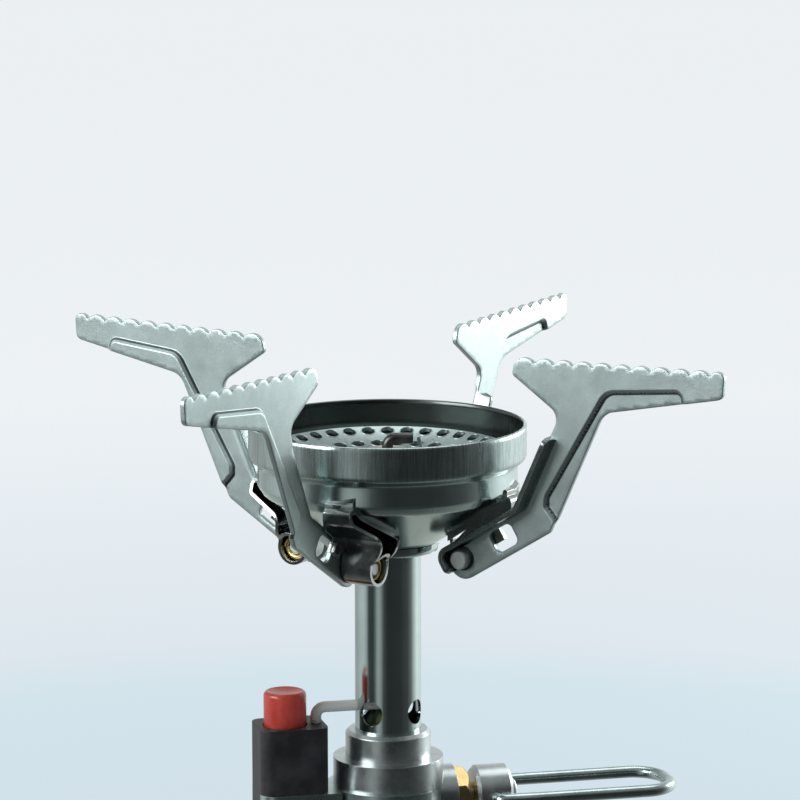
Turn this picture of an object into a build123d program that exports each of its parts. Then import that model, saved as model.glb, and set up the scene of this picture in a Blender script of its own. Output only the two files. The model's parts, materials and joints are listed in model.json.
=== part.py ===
"""Folding four-arm gas stove head that screws onto a gas canister.

Millimetres, +Z up. The origin is the centre of the canister socket's bottom face.
The four support arms stand over the +X/+Y diagonals, the flame control points along +X
and the igniter sits on the -X side.

A support arm and its hinge are drawn in an arm frame: x is the distance from the stove's
axis, y is the height and z is the sideways offset, positive clockwise seen from above.
"""
import os
from math import atan, atan2, cos, degrees, hypot, pi, radians, sin, sqrt, tan

from build123d import *

# ---- driving dimensions ------------------------------------------------------------
rim_height = 75.0           # bowl's rim above the socket's bottom face
arm_count = 4
first_arm_angle = 45.0

running_gap = 0.05          # radial clearance of a pin or spindle that turns
sliding_gap = 0.15          # clearance of faces that slide past each other

# bowl
bowl_radius = 20.0
bowl_wall = 0.5
band_height = 4.8           # straight upper band below the rim
band_step = 1.3             # how far the lower band is drawn in
band_step_height = 1.0
lower_band_depth = 8.8      # rim to the lower band's foot
shoulder_drop = 1.2         # narrow sloping shoulder between lower band and cone
shoulder_step = 0.8
cone_base_radius = 7.2
cone_base_depth = 17.2      # rim to the flat bottom of the cone
band_bend = 0.6
corner_bend = 1.0
floor_bend = 1.6

# mixing tube
tube_radius = 4.8
tube_wall = 0.4
tube_bottom = 26.0
air_hole_height = 33.0
air_hole_diameter = 3.6
collar_height = 1.4

# burner plate
plate_sheet = 0.5
plate_centre_depth = 6.3    # rim to the plate's middle, on its upper face
plate_flat_radius = 6.0
plate_curve_radius = 26.0
plate_shoulder_radius = 17.4
plate_skirt = 3.6
port_diameter = 1.8
# row radius, number of ports and the first port's angle
port_rows = ((16.3, 36, 6.35), (12.9, 28, 5.64), (9.7, 20, 13.35))

# igniter electrode
electrode_angle = -14.0
insulator_radius = 1.6
insulator_bottom = 37.0
insulator_head_radius = 3.3
insulator_head_height = 2.5
electrode_radius = 0.8
electrode_rise = 0.75       # electrode's horizontal run above the insulator's head
electrode_reach = 3.7
earth_tab_gap = 0.5
earth_tab_sheet = 0.45
earth_tab_width = 3.0

# support arm
arm_sheet = 0.8
arm_offset = -0.8           # the sheet's middle, beside the stove's axis
flange_reach = 2.4          # flange beyond the sheet's clockwise face
pivot_reach = 12.4          # pivot from the stove's axis
pivot_depth = 18.6          # pivot below the rim
leg_angle = 31.5            # lower leg above the horizontal
leg_width = 5.5
neck_angle = 65.6
neck_width = 5.7
support_height = 11.3       # first tooth above the rim
edge_rise_angle = 1.1
first_valley = 23.9
tooth_pitch = 3.06
valley_count = 10
tooth_height = 0.78
emboss_depth = 0.9
emboss_slope = 0.8          # width of the emboss's sloping wall
window_length = 4.0
window_width = 3.2
window_from_pivot = 7.5
arm_fold_limit = 124.0

# hinge
pin_radius = 1.05
pin_head_radius = 1.4
pin_head_reach = 1.6        # pin's end beyond the arm's clockwise face
washer_radius = 1.7
washer_thickness = 0.3
bracket_sheet = 0.5
knuckle_bore = 1.95
knuckle_length = 4.8
bracket_inner_reach = 9.2
bracket_outer_reach = 19.7
bracket_waist_reach = 14.2  # leaf's inward bend between knuckle and top
bracket_waist_rise = 4.4    # and its height above the pivot
bracket_widest = 6.25       # leaf's width at its bulge and at its top
bracket_outer_width = 4.3
cheek_edge = 1.7            # cheek's lower edge above the leg's middle line
strap_thickness = 0.7
lock_tab_width = 1.5
spring_wire = 0.8
spring_turns = 5

# socket
socket_radius = 10.5
socket_height = 13.0
thread_radius = 5.1
thread_length = 6.0
relief_radius = 5.7
relief_length = 1.8
seal_wire = 1.3
grip_count = 20
grip_radius = 1.1
actuator_radius = 1.0

# valve
valve_radius = 8.0
valve_flange_radius = 9.4
valve_flange_height = 3.0
valve_top = 30.0
valve_neck_radius = 6.2
valve_shoulder = 26.0
spigot_radius = 6.0
spigot_length = 3.0
gas_way_radius = 1.2
spindle_height = 19.5
spindle_radius = 1.5
spindle_seat_radius = 0.9
gland_bore = 3.0
jet_radius = 2.2
jet_length = 6.0
jet_orifice = 0.16

# flame control
hub_radius = 4.0
hub_start = 12.6
hub_length = 5.4
handle_wire = 1.8
handle_length = 27.0
handle_width = 13.0
handle_fold_low = -45.0
handle_fold_high = 90.0

# igniter
igniter_inner = 9.6         # igniter body's inner face from the axis
igniter_depth = 10.0
igniter_width = 8.4
igniter_bottom = 13.5
igniter_top = 31.5
button_radius = 3.1
button_length = 5.0
button_travel = 3.0
lead_radius = 0.8
lead_height = 33.7
strap_sheet = 0.8
strap_height = 5.0

# ---- values worked out from them ---------------------------------------------------
lower_band_radius = bowl_radius - band_step
bowl_floor = rim_height - cone_base_depth
bowl_inside = lower_band_radius - bowl_wall
plate_centre = rim_height - plate_centre_depth
arm_face = arm_offset + arm_sheet / 2           # arm's clockwise face
arm_back = arm_offset - arm_sheet / 2
flange_edge = arm_face + flange_reach
pivot_height = rim_height - pivot_depth
leg_direction = Vector(cos(radians(leg_angle)), sin(radians(leg_angle)))
leg_normal = Vector(-leg_direction.Y, leg_direction.X)
pivot = Vector(pivot_reach, pivot_height)
knuckle_radius = knuckle_bore + bracket_sheet
knuckle_start = arm_back - sliding_gap
knuckle_end = knuckle_start - knuckle_length
valve_bottom = socket_height
seat_height = thread_length + relief_length


# ---- helpers -----------------------------------------------------------------------
def tube(outer, inner, bottom, top):
    """Upright ring between two heights."""
    ring = Cylinder(outer, top - bottom, align=(Align.CENTER, Align.CENTER, Align.MIN))
    if inner:
        ring -= Cylinder(inner, top - bottom, align=(Align.CENTER, Align.CENTER, Align.MIN))
    return Pos(0, 0, bottom) * ring


def rod(radius, start, length):
    """Cylinder that lies along +X from start."""
    return Pos(start, 0, 0) * Rot(0, 90, 0) * Cylinder(
        radius, length, align=(Align.CENTER, Align.CENTER, Align.MIN))


def revolved(face):
    """Turns a face drawn with x as radius and y as height round the stove's axis."""
    return revolve(Rot(90, 0, 0) * face, Axis.Z, 360)


def shifted(points, distance):
    """Copy of an open outline moved sideways by distance, to the left of its direction."""
    lines = []
    for a, b in zip(points, points[1:]):
        step = hypot(b[0] - a[0], b[1] - a[1])
        nx, ny = -(b[1] - a[1]) / step, (b[0] - a[0]) / step
        lines.append((a[0] + nx * distance, a[1] + ny * distance,
                      b[0] + nx * distance, b[1] + ny * distance))
    moved = [lines[0][:2]]
    for (ax, ay, bx, by), (cx, cy, dx, dy) in zip(lines, lines[1:]):
        cross = (bx - ax) * (dy - cy) - (by - ay) * (dx - cx)
        share = ((cx - ax) * (dy - cy) - (cy - ay) * (dx - cx)) / cross
        moved.append((ax + share * (bx - ax), ay + share * (by - ay)))
    moved.append(lines[-1][2:])
    return moved


def sheet_section(points, radii, thickness):
    """Section of a bent sheet: points run along its right-hand face, radii are its bends there.
    A bend to the left is tighter on the left face, and a bend to the right is wider."""
    other = shifted(points, thickness)
    other_radii = []
    for a, b, c, radius in zip(points, points[1:], points[2:], radii):
        turn = (b[0] - a[0]) * (c[1] - b[1]) - (b[1] - a[1]) * (c[0] - b[0])
        other_radii.append(radius - thickness if turn > 0 else radius + thickness)
    near = FilletPolyline(*points, radius=radii)
    far = FilletPolyline(*other, radius=other_radii)
    ends = Line(points[0], other[0]) + Line(points[-1], other[-1])
    return make_face(Wire(near.edges() + far.edges() + ends.edges()))


def to_arm(shape, number):
    """Carries a shape from the arm frame to arm number's place."""
    return Rot(0, 0, first_arm_angle + number * 360 / arm_count) * Rot(90, 0, 0) * shape


def along_leg(distance, across):
    """Point in the arm frame, measured from the pivot along and across the lower leg."""
    return pivot + leg_direction * distance + leg_normal * across


# ---- burner head -------------------------------------------------------------------
def bowl_outline():
    """Outer face of the bowl from the hole in its floor up to the rim."""
    return [
        (tube_radius, bowl_floor),
        (cone_base_radius, bowl_floor),
        (lower_band_radius - shoulder_step, rim_height - lower_band_depth - shoulder_drop),
        (lower_band_radius, rim_height - lower_band_depth),
        (lower_band_radius, rim_height - band_height - band_step_height),
        (bowl_radius, rim_height - band_height),
        (bowl_radius, rim_height),
    ]


bowl_bends = [floor_bend, corner_bend * 1.6, corner_bend, band_bend, band_bend + bowl_wall]


def burner_bowl():
    section = sheet_section(bowl_outline(), bowl_bends, bowl_wall)
    bowl = revolved(section)
    lip = bowl.edges().group_by(Axis.Z)[-1]
    return fillet(lip, bowl_wall * 0.4)


def bowl_envelope(growth=0.0):
    """Everything inside the bowl's outer face, for shaping what is welded to it."""
    points = bowl_outline()
    radii = list(bowl_bends)
    if growth:
        points = shifted(points, -growth)
        for number in range(5):
            radii[number] += -growth if number == 3 else growth
        radii[3] = max(radii[3], 0.05)
    path = FilletPolyline(*points, radius=radii)
    (start_x, start_y), (end_x, end_y) = points[0], points[-1]
    closing = Polyline((end_x, end_y), (0, end_y), (0, start_y), (start_x, start_y))
    return revolved(make_face(Wire(path.edges() + closing.edges())))


def plate_height(radius):
    """Upper face of the burner plate at a radius."""
    if radius <= plate_flat_radius:
        return plate_centre
    reach = radius - plate_flat_radius
    return plate_centre + plate_curve_radius - sqrt(plate_curve_radius ** 2 - reach ** 2)


def burner_plate():
    hole = insulator_radius + running_gap
    edge = plate_height(plate_shoulder_radius)
    skirt_top = edge - (bowl_inside - plate_shoulder_radius)
    middle = (plate_flat_radius + plate_shoulder_radius) / 2
    lower_curve = plate_curve_radius + plate_sheet
    centre_line = plate_centre + plate_curve_radius

    def lower(radius):
        reach = radius - plate_flat_radius
        return centre_line - sqrt(lower_curve ** 2 - reach ** 2)

    inner_radius = plate_shoulder_radius - plate_sheet * 0.2
    upper = [
        Line((hole, plate_centre), (plate_flat_radius, plate_centre)),
        ThreePointArc((plate_flat_radius, plate_centre), (middle, plate_height(middle)),
                      (plate_shoulder_radius, edge)),
        SagittaArc((plate_shoulder_radius, edge), (bowl_inside, skirt_top), -0.12),
        Line((bowl_inside, skirt_top), (bowl_inside, skirt_top - plate_skirt)),
        Line((bowl_inside, skirt_top - plate_skirt),
             (bowl_inside - plate_sheet, skirt_top - plate_skirt)),
        Line((bowl_inside - plate_sheet, skirt_top - plate_skirt),
             (bowl_inside - plate_sheet, skirt_top - plate_sheet * 0.4)),
        Line((bowl_inside - plate_sheet, skirt_top - plate_sheet * 0.4),
             (inner_radius, lower(inner_radius))),
        ThreePointArc((inner_radius, lower(inner_radius)), (middle, lower(middle)),
                      (plate_flat_radius, plate_centre - plate_sheet)),
        Line((plate_flat_radius, plate_centre - plate_sheet), (hole, plate_centre - plate_sheet)),
        Line((hole, plate_centre - plate_sheet), (hole, plate_centre)),
    ]
    plate = revolved(make_face(Wire([part.edge() for part in upper])))
    drills = [
        Pos(row_radius * cos(angle), row_radius * sin(angle), plate_height(row_radius))
        * Cylinder(port_diameter / 2, 6)
        for row_radius, count, first in port_rows
        for angle in (radians(first) + 2 * pi * k / count for k in range(count))
    ]
    return plate - drills


def electrode_insulator():
    head_bottom = plate_centre
    head_top = head_bottom + insulator_head_height
    shaft = tube(insulator_radius, electrode_radius, insulator_bottom, head_bottom)
    head = tube(insulator_head_radius, electrode_radius, head_bottom, head_top)
    rounded = fillet(head.edges().group_by(Axis.Z)[-1].sort_by(SortBy.RADIUS)[-1], 0.5)
    return shaft + rounded


def electrode():
    """Rod that rises through the insulator and turns over the burner towards the earth tab."""
    top = plate_centre + insulator_head_height + electrode_rise + electrode_radius
    path = FilletPolyline(
        (0, 0, insulator_bottom), (0, 0, top), (electrode_reach, 0, top), radius=1.2)
    wire = sweep(Pos(0, 0, insulator_bottom) * Circle(electrode_radius), path=path.wire())
    return Rot(0, 0, electrode_angle) * wire


def earth_tab():
    """Bent strip on the burner plate that the spark jumps to."""
    inner = electrode_reach + earth_tab_gap
    top = plate_centre + insulator_head_height + electrode_rise + 2 * electrode_radius
    section = sheet_section(
        [(inner + 2.0, plate_centre + earth_tab_sheet), (inner + 0.9, plate_centre + earth_tab_sheet),
         (inner, top)][::-1], [1.0], earth_tab_sheet)
    tab = extrude(Rot(90, 0, 0) * section, earth_tab_width / 2, both=True)
    low = tab.bounding_box().min.Z
    return Rot(0, 0, electrode_angle) * Pos(0, 0, plate_centre - low) * tab


def mixing_tube():
    pipe = tube(tube_radius, tube_radius - tube_wall, tube_bottom, bowl_floor)
    for number in range(arm_count):
        angle = first_arm_angle + number * 360 / arm_count
        pipe -= Rot(0, 0, angle) * Pos(0, 0, air_hole_height) * rod(
            air_hole_diameter / 2, 0, tube_radius + 1)
    lead_hole = Pos(0, 0, lead_height) * rod(lead_radius + running_gap, -tube_radius - 1, tube_radius)
    return pipe - lead_hole


def tube_collar():
    """Ring brazed round the tube under the bowl."""
    ring = tube(cone_base_radius, tube_radius, bowl_floor - collar_height, bowl_floor)
    rim = ring.edges().group_by(Axis.Z)[0].sort_by(SortBy.RADIUS)[-1]
    return fillet(rim, collar_height * 0.55)


# ---- support arms ------------------------------------------------------------------
leg_upper = 2.55                         # leg's edges above and below the pivot
leg_lower = leg_width - leg_upper
neck_direction = Vector(cos(radians(neck_angle)), sin(radians(neck_angle)))


def at(reach, above_rim):
    """Point in the arm frame, measured from the stove's axis and the bowl's rim."""
    return Vector(reach, rim_height + above_rim)


def crossing(start, direction, other_start, other_direction):
    """Point where two straight lines meet."""
    cross = direction.X * other_direction.Y - direction.Y * other_direction.X
    gap = other_start - start
    share = (gap.X * other_direction.Y - gap.Y * other_direction.X) / cross
    return start + direction * share


neck_foot = at(24.9, -3.1)               # a point on the neck's inner edge
neck_normal = Vector(neck_direction.Y, -neck_direction.X)
neck_back = neck_foot + neck_normal * neck_width
head_slope = Vector(cos(radians(11.1)), sin(radians(11.1)))
nose_slope = Vector(cos(radians(-34)), sin(radians(-34)))
head_foot = at(36.6, 4.7)                # a point on the head's lower edge
nose_foot = at(21.0, 8.2)                # a point on the nose's lower edge
outer_reach = first_valley + valley_count * tooth_pitch - 0.8

inner_bend = crossing(along_leg(0, leg_upper), leg_direction, neck_foot, neck_direction)
heel = crossing(along_leg(0, -leg_lower), leg_direction, neck_back, neck_direction)
armpit = crossing(neck_back, neck_direction, head_foot, head_slope)
nose_bend = crossing(neck_foot, neck_direction, nose_foot, nose_slope)
leg_end = -2.6                           # leg's rounded end, beyond the pivot


def valley(number):
    """Bottom of the notch between two teeth."""
    rise = number * tooth_pitch * tan(radians(edge_rise_angle))
    return at(first_valley + number * tooth_pitch, support_height - tooth_height + rise)


def arm_outline():
    """Flat outline of a support arm."""
    valleys = [valley(number) for number in range(valley_count)]
    nose = at(20.5, 10.0)
    tip = Vector(outer_reach, valleys[-1].Y)
    edges = [ThreePointArc(nose, (valleys[0] + nose) / 2 + Vector(-0.2, 1.0), valleys[0]).edge()]
    for a, b in zip(valleys, valleys[1:]):
        edges.append(ThreePointArc(a, (a + b) / 2 + Vector(0, tooth_height), b).edge())
    last_top = (valleys[-1] + tip) / 2 + Vector(0.1, tooth_height)
    edges.append(ThreePointArc(valleys[-1], last_top, tip).edge())
    around = [
        tip,
        Vector(outer_reach - 0.2, crossing(at(outer_reach - 0.2, 0), Vector(0, 1),
                                           head_foot, head_slope).Y),
        armpit,
        heel,
        along_leg(leg_end, -leg_lower),
        along_leg(leg_end, leg_upper),
        inner_bend,
        nose_bend,
        nose_foot + nose_slope * -0.9,
        nose,
    ]
    bends = [1.1, 3.0, 1.0, 2.3, 1.8, 1.5, 2.0, 0.7]
    edges += FilletPolyline(*[(p.X, p.Y) for p in around], radius=bends).edges()
    return make_face(Wire(edges))


def emboss_outline():
    """Raised margin along the arm's outer edge, drawn past the edge on its free side."""
    ridge = [
        at(48.4, 4.0), at(47.2, 8.9), at(35.0, 7.7), at(25.4, -8.4), at(25.4, -10.0),
        at(28.5, -13.5), at(44.0, -2.0),
    ]
    bends = [1.4, 3.0, 1.5, 0.8]
    line = FilletPolyline(*[(p.X, p.Y) for p in ridge[:6]], radius=bends)
    closing = Polyline(*[(p.X, p.Y) for p in (ridge[5], ridge[6], ridge[0])])
    return make_face(Wire(line.edges() + closing.edges()))


def emboss_prism(level):
    """Emboss's volume, with sloping sides, from a face at this level towards the back."""
    slope = degrees(atan(emboss_slope / emboss_depth))
    return Pos(0, 0, level) * extrude(
        emboss_outline(), emboss_depth, dir=(0, 0, -1), taper=slope)


def support_arm():
    raised_back = arm_back - emboss_depth
    blank = Pos(0, 0, raised_back) * extrude(
        arm_outline(), arm_face - raised_back, dir=(0, 0, 1))
    room = Pos(40, rim_height, raised_back) * Box(
        80, 80, emboss_depth, align=(Align.CENTER, Align.CENTER, Align.MIN))
    arm = blank - (room - emboss_prism(arm_back)) - emboss_prism(arm_face)
    flange_line = [neck_foot + neck_direction * 3.9, inner_bend, along_leg(leg_end, leg_upper),
                   along_leg(leg_end, -leg_lower * 0.35)]
    flange = sheet_section([(p.X, p.Y) for p in flange_line], [1.5, 1.8], arm_sheet)
    arm += Pos(0, 0, arm_back + arm_sheet / 2) * extrude(
        flange, flange_edge - arm_back - arm_sheet / 2, dir=(0, 0, 1))
    centre = along_leg(window_from_pivot, -0.35)
    window = Pos(centre.X, centre.Y, arm_offset) * Rot(0, 0, leg_angle) * extrude(
        RectangleRounded(window_length, window_width, 0.9), 3, both=True)
    hole = Pos(pivot.X, pivot.Y, arm_offset) * Cylinder(pin_radius, 3)
    return arm - window - hole


def pivot_pin():
    """Pin fixed in the arm; its tail runs through the spring and the knuckle's bush."""
    tail = knuckle_end + 0.7
    head = arm_face + washer_thickness
    shank = Pos(pivot.X, pivot.Y, tail) * Cylinder(
        pin_radius, head - tail, align=(Align.CENTER, Align.CENTER, Align.MIN))
    shank = chamfer(shank.edges().group_by(Axis.Z)[0], 0.25)
    cap = Pos(pivot.X, pivot.Y, head) * Cylinder(
        pin_head_radius, pin_head_reach - washer_thickness,
        align=(Align.CENTER, Align.CENTER, Align.MIN))
    return shank + chamfer(cap.edges().group_by(Axis.Z)[-1], 0.2)


def pivot_washer():
    """Push-on washer that keeps the arm on its pin."""
    ring = Cylinder(washer_radius, washer_thickness, align=(Align.CENTER, Align.CENTER, Align.MIN))
    ring -= Cylinder(pin_radius, 3)
    for number in range(3):
        notch = Rot(0, 0, 120 * number) * Pos(pin_radius + 0.15, 0, 0) * Box(0.5, 0.35, 3)
        ring -= notch
    return Pos(pivot.X, pivot.Y, arm_face) * ring


bush_length = 1.3


def pivot_spring():
    """Coil spring round the pin, between the bush and the pin's tail."""
    room_end = knuckle_start - bush_length - sliding_gap
    tail = knuckle_end + 0.35
    length = room_end - tail - spring_wire
    middle = (pin_radius + knuckle_bore) / 2
    path = Helix(length / spring_turns, length, middle)
    wire = spring_wire - 2 * running_gap
    start = path @ 0
    section = Plane(origin=start, z_dir=path % 0) * Circle(wire / 2)
    coil = sweep(section, path=path, is_frenet=True)
    return Pos(pivot.X, pivot.Y, tail + spring_wire / 2) * coil


def pivot_bush():
    """Brass bush pressed into the knuckle's end next to the arm."""
    ring = Cylinder(knuckle_bore, bush_length, align=(Align.CENTER, Align.CENTER, Align.MAX))
    ring -= Cylinder(pin_radius + running_gap, 6)
    return Pos(pivot.X, pivot.Y, knuckle_start) * ring


def strip(points, thickness):
    """Section of a straight-sided strip whose right-hand face runs through two points."""
    corners = points + shifted(points, thickness)[::-1]
    return make_face(Polyline(*corners, close=True))


def hinge_bracket():
    """Sheet bracket under the bowl: strap on the cone, knuckle round the pin, outer leaf."""
    mouth = knuckle_start - bracket_widest
    width = bracket_widest

    def wide(section):
        return Pos(0, 0, mouth) * extrude(section, width, dir=(0, 0, 1))

    def tangent(point, side):
        """Where a line from a point touches the knuckle, on one side of it."""
        away = pivot - point
        swing = atan2(away.Y, away.X) + side * atan2(
            knuckle_radius, sqrt(away.length ** 2 - knuckle_radius ** 2))
        reach = sqrt(away.length ** 2 - knuckle_radius ** 2)
        return point + Vector(cos(swing), sin(swing)) * reach

    ring = Pos(pivot.X, pivot.Y) * (Circle(knuckle_radius) - Circle(knuckle_bore))
    inner_top = Vector(bracket_inner_reach, bowl_floor + 3.0)
    inner_touch = tangent(inner_top, -1)
    hem_low = Vector(bracket_outer_reach, rim_height - lower_band_depth - 2.4)
    waist = Vector(bracket_waist_reach, pivot.Y + bracket_waist_rise)
    outer_touch = tangent(waist, 1)
    hem_top = Vector(bracket_outer_reach, rim_height - lower_band_depth - 0.3)
    link = strip([(inner_top.X, inner_top.Y), (inner_touch.X, inner_touch.Y)], bracket_sheet)
    leaf = sheet_section(
        [(outer_touch.X, outer_touch.Y), (waist.X, waist.Y), (hem_low.X, hem_low.Y),
         (hem_top.X, hem_top.Y), (lower_band_radius - 1.5, hem_top.Y)], [1.6, 0.9, 0.9],
        bracket_sheet)
    bracket = wide(ring) + wide(link) + wide(leaf)
    # cheek beside the arm, with a tongue that reaches down behind the arm's window
    corners = [Vector(bracket_inner_reach + 0.6, bowl_floor + 0.2),
               Vector(lower_band_radius - 1.1, hem_top.Y - 0.3), hem_top - Vector(0.3, 0.3),
               Vector(bracket_outer_reach - 0.1, hem_low.Y)]
    corners += [along_leg(along, across) for along, across in (
        (9.4, cheek_edge), (7.0, cheek_edge), (7.0, -0.5), (4.6, -0.5), (3.4, cheek_edge),
        (0, cheek_edge))]
    cheek = make_face(Polyline(*[(c.X, c.Y) for c in corners], close=True))
    bracket += Pos(0, 0, knuckle_start) * extrude(cheek, bracket_sheet, dir=(0, 0, -1))
    strap_zone = Pos(0, 0, mouth) * extrude(
        make_face(Polyline((bracket_inner_reach, bowl_floor), (bracket_inner_reach, rim_height),
                           (lower_band_radius + 0.3, rim_height - lower_band_depth + 0.4),
                           (lower_band_radius + 0.3, bowl_floor), close=True)),
        width, dir=(0, 0, 1))
    turn = Rot(0, 0, first_arm_angle) * Rot(90, 0, 0)
    outside = turn.inverse() * bowl_envelope(strap_thickness)
    inside = turn.inverse() * bowl_envelope()
    bracket = bracket + (outside & strap_zone) - inside
    # free edge: bulges above the knuckle and draws in towards the top
    knuckle_line = -knuckle_end
    bulge = -mouth
    top_line = -knuckle_start + bracket_outer_width
    edge = Spline((knuckle_line, pivot.Y + 1.0), (bulge - 0.1, pivot.Y + 4.6),
                  (bulge - 0.5, hem_low.Y - 1.6), (top_line, hem_top.Y + 0.2))
    outline = Polyline((top_line, hem_top.Y + 0.2), (top_line, rim_height), (0, rim_height),
                       (0, pivot.Y - 5), (knuckle_line, pivot.Y - 5), (knuckle_line, pivot.Y + 1.0))
    kept = Pos(5, 0, 0) * Rot(0, 90, 0) * extrude(
        make_face(Wire(edge.edges() + outline.edges())), 20, dir=(0, 0, 1))
    bracket = bracket & kept
    # bore kept clear for the spring
    bracket -= Pos(pivot.X, pivot.Y, mouth) * Cylinder(
        knuckle_bore, 2 * width + 2, align=(Align.CENTER, Align.CENTER, Align.CENTER))
    # lug behind the arm's window, where the open arm is held
    lug_at = along_leg(window_from_pivot - 1.4, 0.3)
    lug = Pos(lug_at.X, lug_at.Y, knuckle_start) * Rot(0, 0, leg_angle) * Box(
        lock_tab_width, lock_tab_width, 1.1, align=(Align.CENTER, Align.CENTER, Align.MAX))
    return bracket + lug


# ---- canister socket ---------------------------------------------------------------
filter_radius = 3.5
filter_height = 1.2
actuator_head = 2.4
actuator_tip = 6.2          # just above the thread, under the seal
web_top = socket_height - spigot_length


def socket():
    body = Cylinder(socket_radius, socket_height, align=(Align.CENTER, Align.CENTER, Align.MIN))
    body = chamfer(body.edges().group_by(Axis.Z)[-1], 0.6)
    body = chamfer(body.edges().group_by(Axis.Z)[0], 0.8)
    grips = [
        Rot(0, 0, 360 * number / grip_count) * Pos(socket_radius + grip_radius * 0.45, 0, 2.0)
        * Cylinder(grip_radius, socket_height - 4.5, align=(Align.CENTER, Align.CENTER, Align.MIN))
        for number in range(grip_count)
    ]
    body -= grips
    body -= tube(thread_radius, 0, 0, thread_length)
    body -= tube(relief_radius, 0, thread_length, seat_height)
    body -= tube(actuator_radius + running_gap, 0, seat_height, web_top)
    body -= tube(actuator_head + running_gap, 0, web_top - 1.4, web_top)
    body -= tube(spigot_radius, 0, web_top, socket_height)
    return body - Pos(0, 0, seat_height) * Torus(seal_middle, seal_wire / 2)


seal_middle = 3.7


def canister_seal():
    return Pos(0, 0, seat_height) * Torus(seal_middle, seal_wire / 2)


def actuator():
    """Hollow pin that opens the canister's valve."""
    pin = tube(actuator_radius, 0, actuator_tip, web_top - 1.4)
    head = tube(actuator_head, 0, web_top - 1.4, web_top)
    way = tube(0.4, 0, actuator_tip, web_top)
    slot = Pos(0, 0, actuator_tip) * Box(0.6, 4, 1.4)
    return pin + head - way - slot


def gas_filter():
    return tube(filter_radius, 0, web_top, web_top + filter_height)


# ---- valve -------------------------------------------------------------------------
spindle_tip = 1.1
seat_wall = 1.0
chamber_end = 5.6
gland_plug_end = 9.6
gland_hex = 7.0
gland_hex_length = 2.0
spindle_end = hub_start + hub_length - 1.6
packing_wire = 1.3


def valve_body():
    body = tube(spigot_radius, 0, web_top, valve_bottom)
    body += tube(valve_flange_radius, 0, valve_bottom, valve_bottom + valve_flange_height)
    body += tube(valve_radius, 0, valve_bottom + valve_flange_height, valve_shoulder)
    body += tube(valve_neck_radius, 0, valve_shoulder, valve_top)
    body = chamfer(body.edges().group_by(Axis.Z)[-1], 0.5)
    boss = Pos(0, 0, spindle_height) * rod(gland_bore + 1.4, 0, gland_plug_end)
    body += boss
    # flats for a spanner
    for side in (1, -1):
        body -= Pos(0, side * (valve_flange_radius + 4.4), valve_bottom) * Box(
            30, 10, valve_flange_height, align=(Align.CENTER, Align.CENTER, Align.MIN))
    # gas ways
    body -= tube(filter_radius, 0, web_top, web_top + filter_height)
    body -= Pos(2.6, 0, 0) * tube(0.8, 0, web_top, spindle_height)
    body -= Pos(0, 0, spindle_height) * rod(spindle_seat_radius, -0.5, seat_wall + 1)
    body -= tube(spindle_seat_radius, 0, spindle_height, valve_shoulder)
    body -= Pos(0, 0, spindle_height) * rod(spindle_radius + running_gap, seat_wall, chamber_end)
    body -= Pos(0, 0, spindle_height) * rod(gland_bore, chamber_end, 10)
    # jet and tube seats
    body -= tube(jet_radius, 0, valve_shoulder - 2, valve_shoulder)
    return body - tube(tube_radius, 0, valve_shoulder, valve_top)


def spindle():
    """Needle, stem and square end on one axis, along +X from the tip."""
    needle = Pos(spindle_tip, 0, 0) * Rot(0, 90, 0) * Cone(
        0.35, 1.15, 1.4, align=(Align.CENTER, Align.CENTER, Align.MIN))
    neck = rod(1.0, spindle_tip + 1.4, 2.2)
    stem = rod(spindle_radius, spindle_tip + 3.6, spindle_end - spindle_tip - 3.6)
    end = Pos(hub_start + hub_length / 2, 0, 0) * Box(hub_length, 2.3, 2.3)
    stem -= rod(3, hub_start, hub_length) - end
    return Pos(0, 0, spindle_height) * (needle + neck + stem)


def spindle_seal():
    middle = (spindle_radius + gland_bore) / 2
    ring = Torus(middle, (gland_bore - spindle_radius) / 2 - running_gap)
    return Pos(chamber_end + packing_wire / 2 + 0.15, 0, spindle_height) * Rot(0, 90, 0) * ring


def gland_nut():
    """Hexagon nut that closes the spindle's bore and keeps its seal in."""
    start = chamber_end + packing_wire + 0.4
    plug = rod(gland_bore, start, gland_plug_end - start)
    head = Pos(gland_plug_end, 0, 0) * Rot(0, 90, 0) * extrude(
        RegularPolygon(gland_hex / 2, 6, major_radius=False), gland_hex_length)
    cone = Pos(gland_plug_end, 0, 0) * Rot(0, 90, 0) * Cone(
        gland_hex * 0.7, gland_hex * 0.5, gland_hex_length,
        align=(Align.CENTER, Align.CENTER, Align.MIN))
    nut = plug + (head & cone) - rod(spindle_radius + running_gap, start - 1, 12)
    return Pos(0, 0, spindle_height) * nut


def jet():
    """Brass jet screwed into the valve's top, hexagonal above its thread."""
    base = valve_shoulder - 2
    body = tube(jet_radius, 0, base, valve_shoulder)
    body += Pos(0, 0, valve_shoulder) * extrude(
        RegularPolygon(2.6, 6, major_radius=False), 1.6)
    body += Pos(0, 0, valve_shoulder + 1.6) * Cone(
        1.7, 1.0, jet_length - 3.6, align=(Align.CENTER, Align.CENTER, Align.MIN))
    body -= tube(0.8, 0, base, base + jet_length - 0.8)
    return body - tube(jet_orifice, 0, base, base + jet_length)


# ---- flame control -----------------------------------------------------------------
handle_pivot = hub_start + hub_length * 0.5
handle_hole_depth = 2.2


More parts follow.
